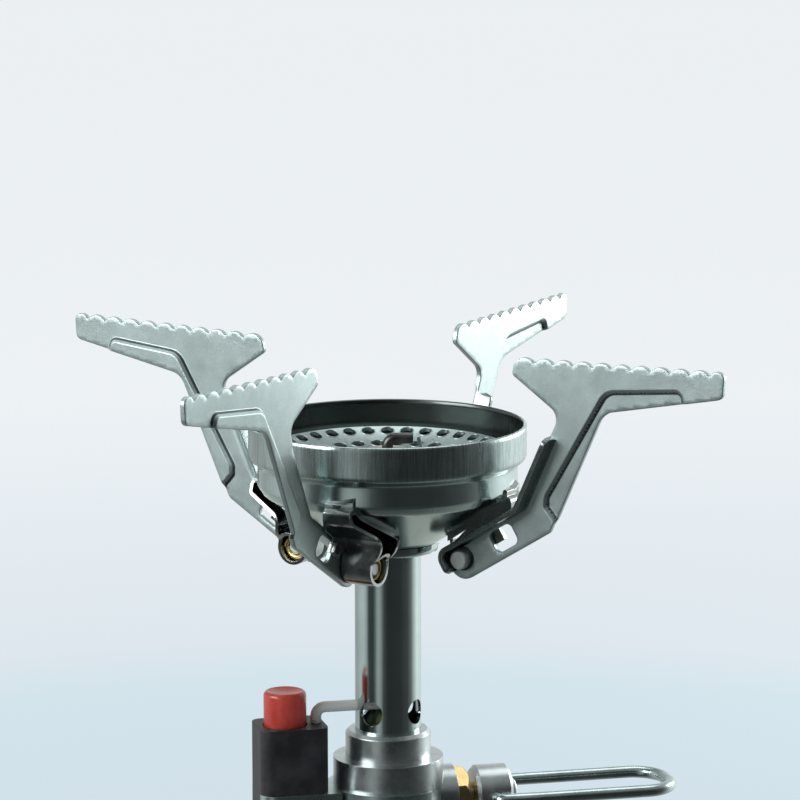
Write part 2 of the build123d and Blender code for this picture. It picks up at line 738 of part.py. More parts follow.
def hub():
    body = rod(hub_radius, hub_start, hub_length)
    body = chamfer(body.edges().group_by(Axis.X)[-1], 0.5)
    body = chamfer(body.edges().group_by(Axis.X)[0], 0.5)
    body -= Pos(hub_start + (spindle_end - hub_start) / 2, 0, 0) * Box(
        spindle_end - hub_start, 2.3, 2.3)
    for side in (1, -1):
        body -= Pos(handle_pivot, side * hub_radius, 0) * Rot(90, 0, 0) * Cylinder(
            handle_wire / 2 + running_gap, 2 * (handle_hole_depth + 0.1))
    body -= rod(hub_screw_radius, hub_start, hub_length + 1)
    return Pos(0, 0, spindle_height) * body


hub_screw_radius = 0.75
hub_screw_head = 1.7


def hub_screw():
    """Cross-headed screw that holds the hub on the spindle."""
    end = hub_start + hub_length
    shank = rod(hub_screw_radius, spindle_end, end - spindle_end)
    head = rod(hub_screw_head, end, 1.1)
    head = fillet(head.edges().group_by(Axis.X)[-1], 0.5)
    for turn in (0, 90):
        head -= Pos(end + 1.1, 0, 0) * Rot(turn, 0, 0) * Box(1.0, 2.1, 0.45)
    return Pos(0, 0, spindle_height) * (shank + head)


def wire_handle():
    """Folding wire loop whose two turned-in ends pivot in the hub."""
    inside = hub_radius - handle_hole_depth
    leg = hub_radius + 0.5 + handle_wire / 2
    half = (handle_width - handle_wire) / 2
    end = handle_pivot + handle_length
    points = [
        (handle_pivot, inside), (handle_pivot, leg), (handle_pivot + 6.0, half),
        (end, half), (end, -half), (handle_pivot + 6.0, -half), (handle_pivot, -leg),
        (handle_pivot, -inside),
    ]
    path = FilletPolyline(*points, radius=[1.1, 3.0, 4.5, 4.5, 3.0, 1.1])
    section = Plane(origin=(handle_pivot, inside, 0), z_dir=(0, 1, 0)) * Circle(handle_wire / 2)
    return Pos(0, 0, spindle_height) * sweep(section, path=path.wire())


# ---- igniter -----------------------------------------------------------------------
igniter_middle = -(igniter_inner + igniter_depth / 2)
button_middle = igniter_middle - 0.7
igniter_wall = 0.9
well_depth = 6.0


def igniter_case():
    height = igniter_top - igniter_bottom
    case = Pos(igniter_middle, 0, igniter_bottom) * Box(
        igniter_depth, igniter_width, height, align=(Align.CENTER, Align.CENTER, Align.MIN))
    case = fillet(case.edges().filter_by(Axis.Z), 1.6)
    case = fillet(case.edges().group_by(Axis.Z)[0], 0.6)
    case -= Pos(button_middle, 0, 0) * tube(
        button_radius + sliding_gap, 0, igniter_top - well_depth, igniter_top)
    cavity = Pos(button_middle, 0, 0) * tube(piezo_radius, 0, igniter_bottom + 1.2,
                                            igniter_top - well_depth)
    return case - cavity - Pos(lead_start, 0, 0) * tube(
        lead_radius, 0, igniter_top - 4, igniter_top)


piezo_radius = 2.4
button_stem_radius = 1.2
lead_start = -(igniter_inner + lead_radius + 0.35)


def piezo_unit():
    """Striker capsule inside the case; the button's stem works in its top."""
    capsule = tube(piezo_radius, 0, igniter_bottom + 1.2, igniter_top - well_depth)
    capsule -= tube(button_stem_radius + sliding_gap, 0, igniter_top - well_depth - 5.0,
                    igniter_top - well_depth)
    return Pos(button_middle, 0, 0) * capsule


def igniter_button():
    """Round push button with a dished top and a stem below it."""
    low = igniter_top - well_depth + button_travel + 0.6
    top = igniter_top + button_length
    cap = tube(button_radius, 0, low, top)
    cap = fillet(cap.edges().group_by(Axis.Z)[-1], 0.7)
    stem = tube(button_stem_radius, 0, igniter_top - well_depth - 1.2, low)
    dish = Pos(0, 0, top + 9.6) * Sphere(10.0)
    return Pos(button_middle, 0, 0) * (cap + stem - dish)


def button_spring():
    """Return spring under the button, round its stem."""
    wire = 0.4
    middle = (button_stem_radius + button_radius) / 2
    low = igniter_top - well_depth
    length = button_travel + 0.6 - wire - 0.1
    path = Helix(length / 3, length, middle)
    section = Plane(origin=path @ 0, z_dir=path % 0) * Circle(wire / 2)
    coil = sweep(section, path=path, is_frenet=True)
    return Pos(button_middle, 0, low + wire / 2) * coil


def ignition_lead():
    """Insulated wire from the igniter through the tube's wall to the electrode."""
    path = FilletPolyline(
        (lead_start, 0, igniter_top - 4), (lead_start, 0, lead_height),
        (0, 0, lead_height), (0, 0, insulator_bottom), radius=1.3)
    section = Pos(lead_start, 0, igniter_top - 4) * Circle(lead_radius)
    return sweep(section, path=path.wire())


def igniter_clip():
    """Sprung band that holds the igniter against the valve, open on the control side."""
    outer = valve_radius + strap_sheet
    band = tube(outer, valve_radius, 0, strap_height)
    opening = Pos(gland_bore + 1.6, 0, 0) * Box(
        20, 40, strap_height, align=(Align.MIN, Align.CENTER, Align.MIN))
    case = Pos(igniter_middle, 0, 0) * Box(
        igniter_depth, igniter_width, strap_height, align=(Align.CENTER, Align.CENTER, Align.MIN))
    case = fillet(case.edges().filter_by(Axis.Z), 1.6)
    grip = Pos(igniter_middle + 0.8, 0, 0) * Box(
        igniter_depth + 2 * strap_sheet + 1.6 - 1.6, igniter_width + 2 * strap_sheet, strap_height,
        align=(Align.CENTER, Align.CENTER, Align.MIN))
    grip = fillet(grip.edges().filter_by(Axis.Z).group_by(Axis.X)[0], 2.4)
    clip = band - opening + grip - case - tube(valve_radius, 0, 0, strap_height)
    return Pos(0, 0, valve_bottom + valve_flange_height + 1.0) * clip


# ---- write the parts ---------------------------------------------------------------
def main():
    os.makedirs("parts", exist_ok=True)
    parts = {
        "burner_bowl": burner_bowl(),
        "burner_plate": burner_plate(),
        "electrode_insulator": electrode_insulator(),
        "electrode": electrode(),
        "earth_tab": earth_tab(),
        "mixing_tube": mixing_tube(),
        "tube_collar": tube_collar(),
        "canister_socket": socket(),
        "canister_seal": canister_seal(),
        "actuator_pin": actuator(),
        "gas_filter": gas_filter(),
        "valve_body": valve_body(),
        "valve_spindle": spindle(),
        "spindle_seal": spindle_seal(),
        "gland_nut": gland_nut(),
        "jet": jet(),
        "control_hub": hub(),
        "hub_screw": hub_screw(),
        "wire_handle": wire_handle(),
        "igniter_case": igniter_case(),
        "piezo_unit": piezo_unit(),
        "igniter_button": igniter_button(),
        "button_spring": button_spring(),
        "ignition_lead": ignition_lead(),
        "igniter_clip": igniter_clip(),
    }
    per_arm = {
        "support_arm": support_arm(),
        "hinge_bracket": hinge_bracket(),
        "pivot_pin": pivot_pin(),
        "pivot_washer": pivot_washer(),
        "pivot_spring": pivot_spring(),
        "pivot_bush": pivot_bush(),
    }
    for name, shape in per_arm.items():
        for number in range(arm_count):
            parts[f"{name}_{number + 1}"] = to_arm(shape, number)
    for name, shape in parts.items():
        export_step(shape, f"parts/{name}.step")


main()
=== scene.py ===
"""Looks of the folding gas stove: finishes on the modelled parts, finer meshes for the arms
and the bowl, raised rims round the burner plate's ports and a ridge for the canister thread.
The stove's own frame, +Z up: named sizes are millimetres, and the scene is in metres.
A support arm is drawn flat: x is the distance from the stove's axis, y the height above the
bowl's rim, and z the sideways offset, clockwise side positive.
"""

import json
from functools import cache
from math import atan2, cos, pi, radians, sin, sqrt, tan

import bmesh
import bpy
from mathutils import Matrix, Vector, geometry


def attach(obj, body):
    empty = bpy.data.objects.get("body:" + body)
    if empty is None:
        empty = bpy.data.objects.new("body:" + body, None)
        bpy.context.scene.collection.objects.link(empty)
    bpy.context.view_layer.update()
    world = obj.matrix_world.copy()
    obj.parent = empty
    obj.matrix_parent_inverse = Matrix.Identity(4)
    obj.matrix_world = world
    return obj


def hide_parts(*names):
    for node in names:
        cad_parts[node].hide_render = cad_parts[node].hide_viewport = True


bl_info = {
    "name": "Folding gas stove",
    "version": (1, 0, 0),
    "blender": (4, 5, 0),
    "location": "View3D > Sidebar > Stove",
    "description": "Builds the looks of a folding four-arm gas stove",
    "category": "Add Mesh",
}

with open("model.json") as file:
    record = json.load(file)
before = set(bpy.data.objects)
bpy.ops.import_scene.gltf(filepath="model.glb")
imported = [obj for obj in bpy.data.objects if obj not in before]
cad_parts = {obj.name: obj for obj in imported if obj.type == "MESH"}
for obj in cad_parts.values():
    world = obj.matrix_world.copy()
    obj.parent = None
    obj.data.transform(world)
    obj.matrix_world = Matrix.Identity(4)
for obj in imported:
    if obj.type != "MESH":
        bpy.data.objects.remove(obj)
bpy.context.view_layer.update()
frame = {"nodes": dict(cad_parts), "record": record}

MM = 0.001
RIM = 75.0
ARMS = 4
FIRST_ARM = 45.0


# ---- shader helper -----------------------------------------------------------------
class Wire:
    """A shader socket with arithmetic: an expression on wires adds its Math nodes."""

    def __init__(self, tree, socket):
        self.tree = tree
        self.socket = socket

    def math(self, operation, *values, clamp=False):
        node = self.tree.nodes.new("ShaderNodeMath")
        node.operation = operation
        node.use_clamp = clamp
        for slot, value in zip(node.inputs, values):
            if isinstance(value, Wire):
                self.tree.links.new(value.socket, slot)
            else:
                slot.default_value = value
        return Wire(self.tree, node.outputs[0])

    def __add__(self, other):
        return self.math("ADD", self, other)

    def __radd__(self, other):
        return self.math("ADD", other, self)

    def __sub__(self, other):
        return self.math("SUBTRACT", self, other)

    def __rsub__(self, other):
        return self.math("SUBTRACT", other, self)

    def __mul__(self, other):
        return self.math("MULTIPLY", self, other)

    def __rmul__(self, other):
        return self.math("MULTIPLY", other, self)

    def clamped(self):
        return self.math("ADD", self, 0.0, clamp=True)


class Finish:
    """A material being built: one call adds any node, and the last ones set the surface."""

    def __init__(self, name):
        self.material = bpy.data.materials.new(name)
        self.material.use_nodes = True
        self.tree = self.material.node_tree
        self.tree.nodes.clear()

    def node(self, kind, settings=None, values=None, output=0):
        node = self.tree.nodes.new(kind)
        for key, value in (settings or {}).items():
            if key == "stops":
                ramp = node.color_ramp
                while len(ramp.elements) < len(value):
                    ramp.elements.new(0.5)
                for element, (place, colour) in zip(ramp.elements, value):
                    element.position = place
                    element.color = colour
            else:
                setattr(node, key, value)
        for key, value in (values or {}).items():
            slot = node.inputs[key]
            if isinstance(value, Wire):
                self.tree.links.new(value.socket, slot)
            else:
                slot.default_value = value
        return Wire(self.tree, node.outputs[output])

    def place(self, scale, offset=(0, 0, 0), turn=(0, 0, 0)):
        """Object coordinates in millimetres, stretched by a scale for each axis."""
        at = self.node("ShaderNodeTexCoord", output="Object")
        return self.node("ShaderNodeMapping", None, {
            "Vector": at, "Scale": tuple(1000 * s for s in scale),
            "Location": offset, "Rotation": turn})

    def noise(self, scale, detail=4.0, rough=0.55, offset=(0, 0, 0), turn=(0, 0, 0)):
        """Noise whose grain is about 1/scale millimetres on each axis."""
        return self.node("ShaderNodeTexNoise", None, {
            "Vector": self.place(scale, offset, turn), "Scale": 1.0, "Detail": detail,
            "Roughness": rough}, "Fac")

    def ramp(self, value, *stops):
        """Smooth remap of a value to greys: stops are (position, grey)."""
        return self.node("ShaderNodeValToRGB", {
            "stops": [(p, (g, g, g, 1)) for p, g in stops]}, {"Fac": value})

    def mix(self, amount, a, b):
        """Colour a where amount is 0 and b where it is 1."""
        node = self.tree.nodes.new("ShaderNodeMix")
        node.data_type = "RGBA"
        for index, value in ((0, amount), (6, a), (7, b)):
            if isinstance(value, Wire):
                self.tree.links.new(value.socket, node.inputs[index])
            else:
                node.inputs[index].default_value = value
        return Wire(self.tree, node.outputs[2])

    def bump(self, height, depth, strength=1.0, under=None):
        """Bump from a height between 0 and 1 that stands for depth in millimetres."""
        values = {"Height": height, "Strength": strength, "Distance": depth * MM}
        if under:
            values["Normal"] = under
        return self.node("ShaderNodeBump", None, values)

    def edges(self, radius):
        """Normals rounded over sharp edges by a radius in millimetres."""
        return self.node("ShaderNodeBevel", {"samples": 4}, {"Radius": radius * MM})

    def calc(self, operation, *values):
        """One Math node on wires or numbers."""
        return self.node("ShaderNodeMath", {"operation": operation}, dict(enumerate(values)))

    def remap(self, value, low, high, to_low=0.0, to_high=1.0):
        """Straight remap of low..high to to_low..to_high, held at both ends."""
        return self.node("ShaderNodeMapRange", None, {
            "Value": value, "From Min": low, "From Max": high,
            "To Min": to_low, "To Max": to_high})

    def surface(self, **values):
        shader = self.tree.nodes.new("ShaderNodeBsdfPrincipled")
        for key, value in values.items():
            slot = shader.inputs[key.replace("_", " ")]
            if isinstance(value, Wire):
                self.tree.links.new(value.socket, slot)
            else:
                slot.default_value = value
        out = self.tree.nodes.new("ShaderNodeOutputMaterial")
        self.tree.links.new(shader.outputs[0], out.inputs[0])
        return self.material


def rgb(*values):
    return tuple(values) + (1.0,)


# ---- finishes ----------------------------------------------------------------------
def pressed_steel(name, light, dark, rough, grain):
    """Satin pressed sheet: rolling grain, fine pitting and soft cloudy wear."""
    f = Finish(name)
    cloud = f.noise((0.3, 0.3, 0.3), 4, 0.65)
    fine = f.noise((2.6, 2.6, 6.0), 3, 0.7)
    pits = f.noise((5.5, 5.5, 5.5), 2, 0.6, (7, 3, 1))
    scratch = f.noise((0.5, 0.5, 14.0), 2, 0.7, (3, 9, 2), (0.5, 0.3, 0.2))
    shade = f.ramp(cloud * 0.7 + fine * 0.3, (0.3, 0), (0.72, 1))
    speck = f.ramp(pits, (0.60, 0), (0.72, 1))
    colour = f.mix(shade, dark, light)
    colour = f.mix(speck * 0.35, colour, rgb(0.16, 0.18, 0.18))
    gloss = rough + (fine - 0.5) * 0.16 + (cloud - 0.5) * 0.14 + speck * 0.2
    under = f.bump(fine * 0.55 + scratch * 0.45, grain)
    return f.surface(Base_Color=colour, Metallic=1.0, Roughness=gloss.clamped(),
                     Normal=f.bump(pits, grain * 0.7, 0.5, under))


def spun_steel(name, light, dark, rough, line_depth, inner_dark=0.0):
    """Brushed round part: fine lines up and down, and a darker inner face of the bowl's wall."""
    f = Finish(name)
    at = f.node("ShaderNodeTexCoord", output="Object")
    x, y, z = (f.node("ShaderNodeSeparateXYZ", None, {"Vector": at}, k) for k in range(3))
    angle = f.calc("ARCTAN2", y, x)
    turn = f.node("ShaderNodeCombineXYZ", None, {
        "X": f.calc("COSINE", angle) * 90.0, "Y": f.calc("SINE", angle) * 90.0,
        "Z": z * 160.0})
    lines = f.node("ShaderNodeTexNoise", None, {
        "Vector": turn, "Scale": 1.0, "Detail": 5.0, "Roughness": 0.75}, "Fac")
    rings = f.node("ShaderNodeTexNoise", {"noise_dimensions": "1D"}, {
        "W": z * 2600.0, "Scale": 1.0, "Detail": 3.0, "Roughness": 0.6}, "Fac")
    cloud = f.noise((0.12, 0.12, 0.12), 3, 0.6)
    shade = f.ramp(lines * 0.4 + cloud * 0.6, (0.3, 0), (0.7, 1))
    colour = f.mix(shade, dark, light)
    gloss = rough + (lines - 0.5) * 0.12 + (cloud - 0.5) * 0.1
    if inner_dark:
        height = z * 1000.0 - RIM
        radius = f.calc("SQRT", x * x + y * y) * 1000.0
        # the middle of the bowl's wall: cone, shoulder and step, each adding its share
        cone = f.remap(height, -17.0, -9.8, 6.9, 17.5)
        shoulder = f.remap(height, -10.0, -8.8, 0.0, 0.9)
        step = f.remap(height, -5.8, -4.8, 0.0, 1.3)
        within = f.remap(cone + shoulder + step - radius, -0.1, 0.1)
        inner_darkening = within * inner_dark
        brushed = f.remap(height, -5.3, -4.9) * (1.0 - within)
        # near-black base colour on the inner face of the bowl's wall
        colour = f.mix(inner_darkening, colour, rgb(0.022, 0.022, 0.019))
        streak = f.ramp(lines, (0.38, 0), (0.62, 1))
        colour = f.mix(brushed * 0.5 * (1.0 - streak), colour, rgb(0.16, 0.19, 0.19))
        gloss = gloss + inner_darkening * 0.08 + brushed * 0.08
        lines = lines * (0.25 + brushed * 0.75)
    under = f.bump(lines, line_depth)
    return f.surface(Base_Color=colour, Metallic=1.0, Roughness=gloss.clamped(),
                     Normal=f.bump(rings, line_depth * 0.5, 0.4, under))


def turned_metal(name, light, dark, rough, round_edge=0.12):
    """Machined bright metal with soft edges, smears and fine tool marks."""
    f = Finish(name)
    cloud = f.noise((0.35, 0.35, 0.35), 3, 0.6)
    fine = f.noise((7.0, 7.0, 7.0), 3, 0.7)
    colour = f.mix(f.ramp(cloud, (0.35, 0), (0.68, 1)), dark, light)
    gloss = rough + (fine - 0.5) * 0.15 + (cloud - 0.5) * 0.2
    return f.surface(Base_Color=colour, Metallic=1.0, Roughness=gloss.clamped(),
                     Normal=f.bump(fine, 0.012, 0.6, f.edges(round_edge)))


def moulded(name, colour, worn, rough, coat=0.0, round_edge=0.2):
    """Moulded plastic or rubber: fine spark-eroded texture, dust in places, soft edges."""
    f = Finish(name)
    grain = f.noise((6.0, 6.0, 6.0), 2, 0.6)
    cloud = f.noise((0.3, 0.3, 0.3), 3, 0.6)
    shade = f.mix(f.ramp(cloud, (0.4, 0), (0.75, 1)), colour, worn)
    gloss = rough + (grain - 0.5) * 0.2 + (cloud - 0.5) * 0.15
    return f.surface(Base_Color=shade, Roughness=gloss.clamped(), Coat_Weight=coat,
                     Coat_Roughness=0.12, Specular_IOR_Level=0.45,
                     Normal=f.bump(grain, 0.02, 0.7, f.edges(round_edge)))


def ceramic(name):
    """Unglazed ceramic, browned by the flame in cloudy patches."""
    f = Finish(name)
    grain = f.noise((4.0, 4.0, 4.0), 3, 0.6)
    cloud = f.noise((0.5, 0.5, 0.5), 3, 0.6)
    inner_darkening = f.ramp(cloud, (0.35, 0), (0.7, 1))
    colour = f.mix(inner_darkening, rgb(0.46, 0.47, 0.44), rgb(0.25, 0.24, 0.21))
    return f.surface(Base_Color=colour, Roughness=(0.55 + (grain - 0.5) * 0.3).clamped(),
                     Normal=f.bump(grain, 0.03, 0.8, f.edges(0.25)))


def woven_sleeve(name):
    """Heat-proof braided sleeve of the ignition lead."""
    f = Finish(name)
    at = f.place((1, 1, 1))
    weave = f.node("ShaderNodeTexWave", {"wave_type": "BANDS", "bands_direction": "DIAGONAL"}, {
        "Vector": at, "Scale": 1.6, "Distortion": 1.2, "Detail": 2.0}, "Fac")
    colour = f.mix(weave, rgb(0.46, 0.44, 0.40), rgb(0.80, 0.79, 0.74))
    return f.surface(Base_Color=colour, Roughness=(0.7 + weave * 0.15).clamped(),
                     Normal=f.bump(weave, 0.08))


def sintered(name):
    """Coarse sintered bronze grains."""
    f = Finish(name)
    cells = f.node("ShaderNodeTexVoronoi", None, {"Vector": f.place((3, 3, 3)), "Scale": 1.0})
    colour = f.mix(cells, rgb(0.60, 0.42, 0.22), rgb(0.20, 0.13, 0.07))
    return f.surface(Base_Color=colour, Metallic=1.0, Roughness=(0.4 + cells * 0.4).clamped(),
                     Normal=f.bump(cells, 0.1))


def floor_finish(name):
    """Pale matt paper sweep that glows with its own colour, with painted shade that makes it darker
    and bluer close to the stove.
    """
    f = Finish(name)
    at = f.place((1, 1, 1))
    reach = f.node("ShaderNodeVectorMath", {"operation": "LENGTH"}, {"Vector": at}, "Value")
    # painted shade: darker and bluer within about 450 mm of the stove
    shade = f.node("ShaderNodeValToRGB", {"stops": [
        (0.05, rgb(0.62, 0.72, 0.785)), (0.10, rgb(0.63, 0.745, 0.805)),
        (0.125, rgb(0.71, 0.775, 0.823)), (0.21, rgb(0.79, 0.838, 0.880)),
        (0.30, rgb(0.855, 0.888, 0.913)), (1.0, rgb(0.871, 0.905, 0.930))]},
        {"Fac": reach * (1 / 1500)})
    tooth = f.noise((0.02, 0.02, 0.02), 2, 0.5)
    colour = f.mix(tooth * 0.04, shade, rgb(0.80, 0.84, 0.87))
    return f.surface(Base_Color=f.mix(0.86, colour, rgb(0, 0, 0)), Roughness=0.9,
                     Specular_IOR_Level=0.0, Emission_Color=colour, Emission_Strength=0.9)


# ---- drawing helpers ---------------------------------------------------------------
def rounded(points, radii, step=0.22):
    """Open line through points with each inner corner rounded to its radius."""
    line = [Vector(points[0])]
    for a, b, c, radius in zip(points, points[1:], points[2:], radii):
        a, b, c = Vector(a), Vector(b), Vector(c)
        into, out = (a - b).normalized(), (c - b).normalized()
        half = into.angle(out) / 2
        if radius <= 0:
            line.append(b)
            continue
        reach = radius / tan(half)
        start, end = b + into * reach, b + out * reach
        middle = b + (into + out).normalized() * (radius / sin(half))
        sweep = pi - 2 * half
        turn = 1 if (b - a).cross(c - b) > 0 else -1
        count = max(3, int(sweep * radius / step) + 1)
        arm = start - middle
        for k in range(count + 1):
            angle = turn * sweep * k / count
            line.append(middle + Vector((arm.x * cos(angle) - arm.y * sin(angle),
                                         arm.x * sin(angle) + arm.y * cos(angle))))
    line.append(Vector(points[-1]))
    return line


def arc(a, b, rise, count):
    """Points after a up to b along an arc that rises by rise to the left of a to b."""
    chord = b - a
    middle = (a + b) / 2 + Vector((-chord.y, chord.x)).normalized() * rise
    half = chord.length / 2
    radius = (half * half + rise * rise) / (2 * abs(rise))
    centre = middle - Vector((-chord.y, chord.x)).normalized() * radius * (1 if rise > 0 else -1)
    start = atan2(a.y - centre.y, a.x - centre.x)
    sweep = 2 * atan2(half, radius - abs(rise))
    turn = -1 if rise > 0 else 1
    return [centre + Vector((cos(start + turn * sweep * k / count),
                             sin(start + turn * sweep * k / count))) * radius
            for k in range(1, count + 1)]


def crossing(a, direction, b, other):
    """Point where two straight lines meet."""
    share = (b - a).cross(other) / direction.cross(other)
    return a + direction * share


def resample(line, step):
    """Line with its long stretches cut into pieces no longer than step."""
    out = [line[0]]
    for a, b in zip(line, line[1:]):
        count = max(1, int((b - a).length / step + 0.5))
        out += [a.lerp(b, k / count) for k in range(1, count + 1)]
    return out


def inside(point, loop):
    """Whether a point lies inside a closed loop."""
    hit = False
    x, y = point[0], point[1]
    for a, b in zip(loop, loop[1:] + loop[:1]):
        if (a[1] > y) != (b[1] > y) and x < (b[0] - a[0]) * (y - a[1]) / (b[1] - a[1]) + a[0]:
            hit = not hit
    return hit


def distance(point, loop):
    """Distance from a point to a closed loop."""
    best = 1e9
    px, py = point[0], point[1]
    for a, b in zip(loop, loop[1:] + loop[:1]):
        ex, ey = b[0] - a[0], b[1] - a[1]
        length = ex * ex + ey * ey
        t = max(0.0, min(1.0, ((px - a[0]) * ex + (py - a[1]) * ey) / length)) if length else 0.0
        dx, dy = a[0] + t * ex - px, a[1] + t * ey - py
        best = min(best, dx * dx + dy * dy)
    return sqrt(best)


def smooth(value):
    """Soft step from 0 to 1."""
    value = max(0.0, min(1.0, value))
    return value * value * (3 - 2 * value)


def make_object(name, vertices, faces, material, smooth_angle=50.0):
    """Mesh object at the origin from vertices in millimetres, with faces turned outwards."""
    mesh = bpy.data.meshes.new(name)
    mesh.from_pydata([(v[0] * MM, v[1] * MM, v[2] * MM) for v in vertices], [], faces)
    work = bmesh.new()
    work.from_mesh(mesh)
    bmesh.ops.remove_doubles(work, verts=work.verts, dist=1e-7)
    bmesh.ops.recalc_face_normals(work, faces=work.faces)
    for face in work.faces:
        face.smooth = True
    for edge in work.edges:
        if len(edge.link_faces) == 2:
            edge.smooth = edge.calc_face_angle(0) < radians(smooth_angle)
    work.to_mesh(mesh)
    work.free()
    mesh.materials.append(material)
    thing = bpy.data.objects.new(name, mesh)
    bpy.context.scene.collection.objects.link(thing)
    return thing


def lathe(profile, count=256):
    """Vertices and faces of a closed profile of (radius, height) turned round the axis."""
    vertices, faces = [], []
    size = len(profile)
    for k in range(count):
        angle = 2 * pi * k / count
        vertices += [(r * cos(angle), r * sin(angle), z) for r, z in profile]
    for k in range(count):
        a, b = k * size, (k + 1) % count * size
        faces += [(a + i, b + i, b + (i + 1) % size, a + (i + 1) % size) for i in range(size)]
    return vertices, faces


def beside(line, gap):
    """Open line moved sideways by gap to its left."""
    out = []
    for k, p in enumerate(line):
        before = (p - line[k - 1]).normalized() if k else None
        after = (line[k + 1] - p).normalized() if k + 1 < len(line) else None
        along = ((before or after) + (after or before)).normalized()
        out.append(p + Vector((-along.y, along.x)) * gap)
    return out


# ---- support arm -------------------------------------------------------------------
SHEET = 0.8
OFFSET = -0.8
FLANGE_EDGE = 2.0
PIVOT = Vector((12.4, -18.6))
LEG = Vector((cos(radians(31.5)), sin(radians(31.5))))
LEG_UP = Vector((-LEG.y, LEG.x))
NECK = Vector((cos(radians(65.6)), sin(radians(65.6))))
LEG_END = -2.6
LEG_LOW = -2.95
LEG_HIGH = 2.55
TEETH = 10
PITCH = 3.06
TOOTH = 0.78
FIRST_VALLEY = 23.9
TOOTH_TOP = 11.3
EMBOSS_DEPTH = 0.6
EMBOSS_SLOPE = 0.7
PIN_HOLE = 1.05
WINDOW = (2.0, 1.6)
CREASE_CLEARANCE = 0.26
# finish marks: plain arm steel, flange with painted shade, crease with painted shade
PLAIN, FLANGE, CREASE = range(3)


def on_leg(along, across):
    """Point along the arm's leg from its pivot, and across it."""
    return PIVOT + LEG * along + LEG_UP * across


def arm_lines():
    """Outline of the arm as three stretches: toothed edge, outer edge, and flanged inner edge."""
    neck_foot = Vector((24.9, -3.1))
    neck_back = neck_foot + Vector((NECK.y, -NECK.x)) * 5.7
    head_foot = Vector((36.6, 4.7))
    head = Vector((cos(radians(11.1)), sin(radians(11.1))))
    nose_foot = Vector((21.0, 8.2))
    nose = Vector((cos(radians(-34)), sin(radians(-34))))
    reach = FIRST_VALLEY + TEETH * PITCH - 0.8
    rise = tan(radians(1.1))
    valleys = [Vector((FIRST_VALLEY + k * PITCH, TOOTH_TOP - TOOTH + k * PITCH * rise))
               for k in range(TEETH)]
    start = Vector((20.5, 10.0))
    tip = Vector((reach, valleys[-1].y))
    teeth = [start] + arc(start, valleys[0], 1.0, 14)
    for a, b in zip(valleys, valleys[1:]):
        teeth += arc(a, b, TOOTH, 12)
    teeth += arc(valleys[-1], tip, TOOTH, 10)
    corner = crossing(Vector((reach - 0.2, 0)), Vector((0, 1)), head_foot, head)
    armpit = crossing(neck_back, NECK, head_foot, head)
    heel = crossing(on_leg(0, LEG_LOW), LEG, neck_back, NECK)
    inner = crossing(on_leg(0, LEG_HIGH), LEG, neck_foot, NECK)
    bend = crossing(neck_foot, NECK, nose_foot, nose)
    around = rounded(
        [tip, corner, armpit, heel, on_leg(LEG_END, LEG_LOW), on_leg(LEG_END, LEG_HIGH), inner,
         bend, nose_foot - nose * 0.9, start], [1.1, 3.0, 1.0, 2.3, 1.8, 1.5, 2.0, 0.7])
    flange = rounded([neck_foot + NECK * 3.9, inner, on_leg(LEG_END, LEG_HIGH),
                      on_leg(LEG_END, LEG_LOW * 0.35)], [1.5, 1.8])
    return teeth, around, flange


def emboss_loop():
    """Foot of the bend round the arm's pressed panel."""
    ridge = [(48.4, 4.0), (47.2, 8.9), (35.0, 7.7), (25.4, -8.4), (25.4, -10.0), (28.5, -13.5)]
    return rounded(ridge, [1.4, 3.0, 1.5, 0.8]) + [Vector((44.0, -2.0))]


def ring_inset(loop, gaps):
    """Closed loop moved inwards by a gap for each of its points."""
    area = sum(a.x * b.y - b.x * a.y for a, b in zip(loop, loop[1:] + loop[:1]))
    side = 1 if area > 0 else -1
    out = []
    for k, p in enumerate(loop):
        a, b = (p - loop[k - 1]), (loop[(k + 1) % len(loop)] - p)
        along = (a.normalized() + b.normalized()).normalized()
        out.append(p + Vector((-along.y, along.x)) * side * gaps[k])
    return out


def clean_loop(line, step):
    """Closed loop with even spacing and no repeated points."""
    out = []
    for p in resample(line, step):
        if not out or (p - out[-1]).length > 0.02:
            out.append(p)
    if (out[0] - out[-1]).length < 0.02:
        out.pop()
    return out


def grid_points(outer, holes, bends, grain):
    """Even triangular grid inside the outer loop, clear of its edge, its holes and its bends."""
    nearby = {}
    for p in bends:
        nearby.setdefault((round(p.x), round(p.y)), []).append(p)
    low = Vector((min(p.x for p in outer), min(p.y for p in outer)))
    high = Vector((max(p.x for p in outer), max(p.y for p in outer)))
    clear = grain * 0.45
    y, odd = low.y, 0
    while y < high.y:
        x = low.x + odd * grain / 2
        while x < high.x:
            p = Vector((x, y))
            around = [q for i in (-1, 0, 1) for j in (-1, 0, 1)
                      for q in nearby.get((round(x) + i, round(y) + j), ())]
            if (all((p - q).length >= CREASE_CLEARANCE for q in around)
                    and inside(p, outer) and distance(p, outer) > clear
                    and all(not inside(p, hole) and distance(p, hole) > clear for hole in holes)):
                yield x, y
            x += grain
        y += grain * 0.866
        odd = 1 - odd


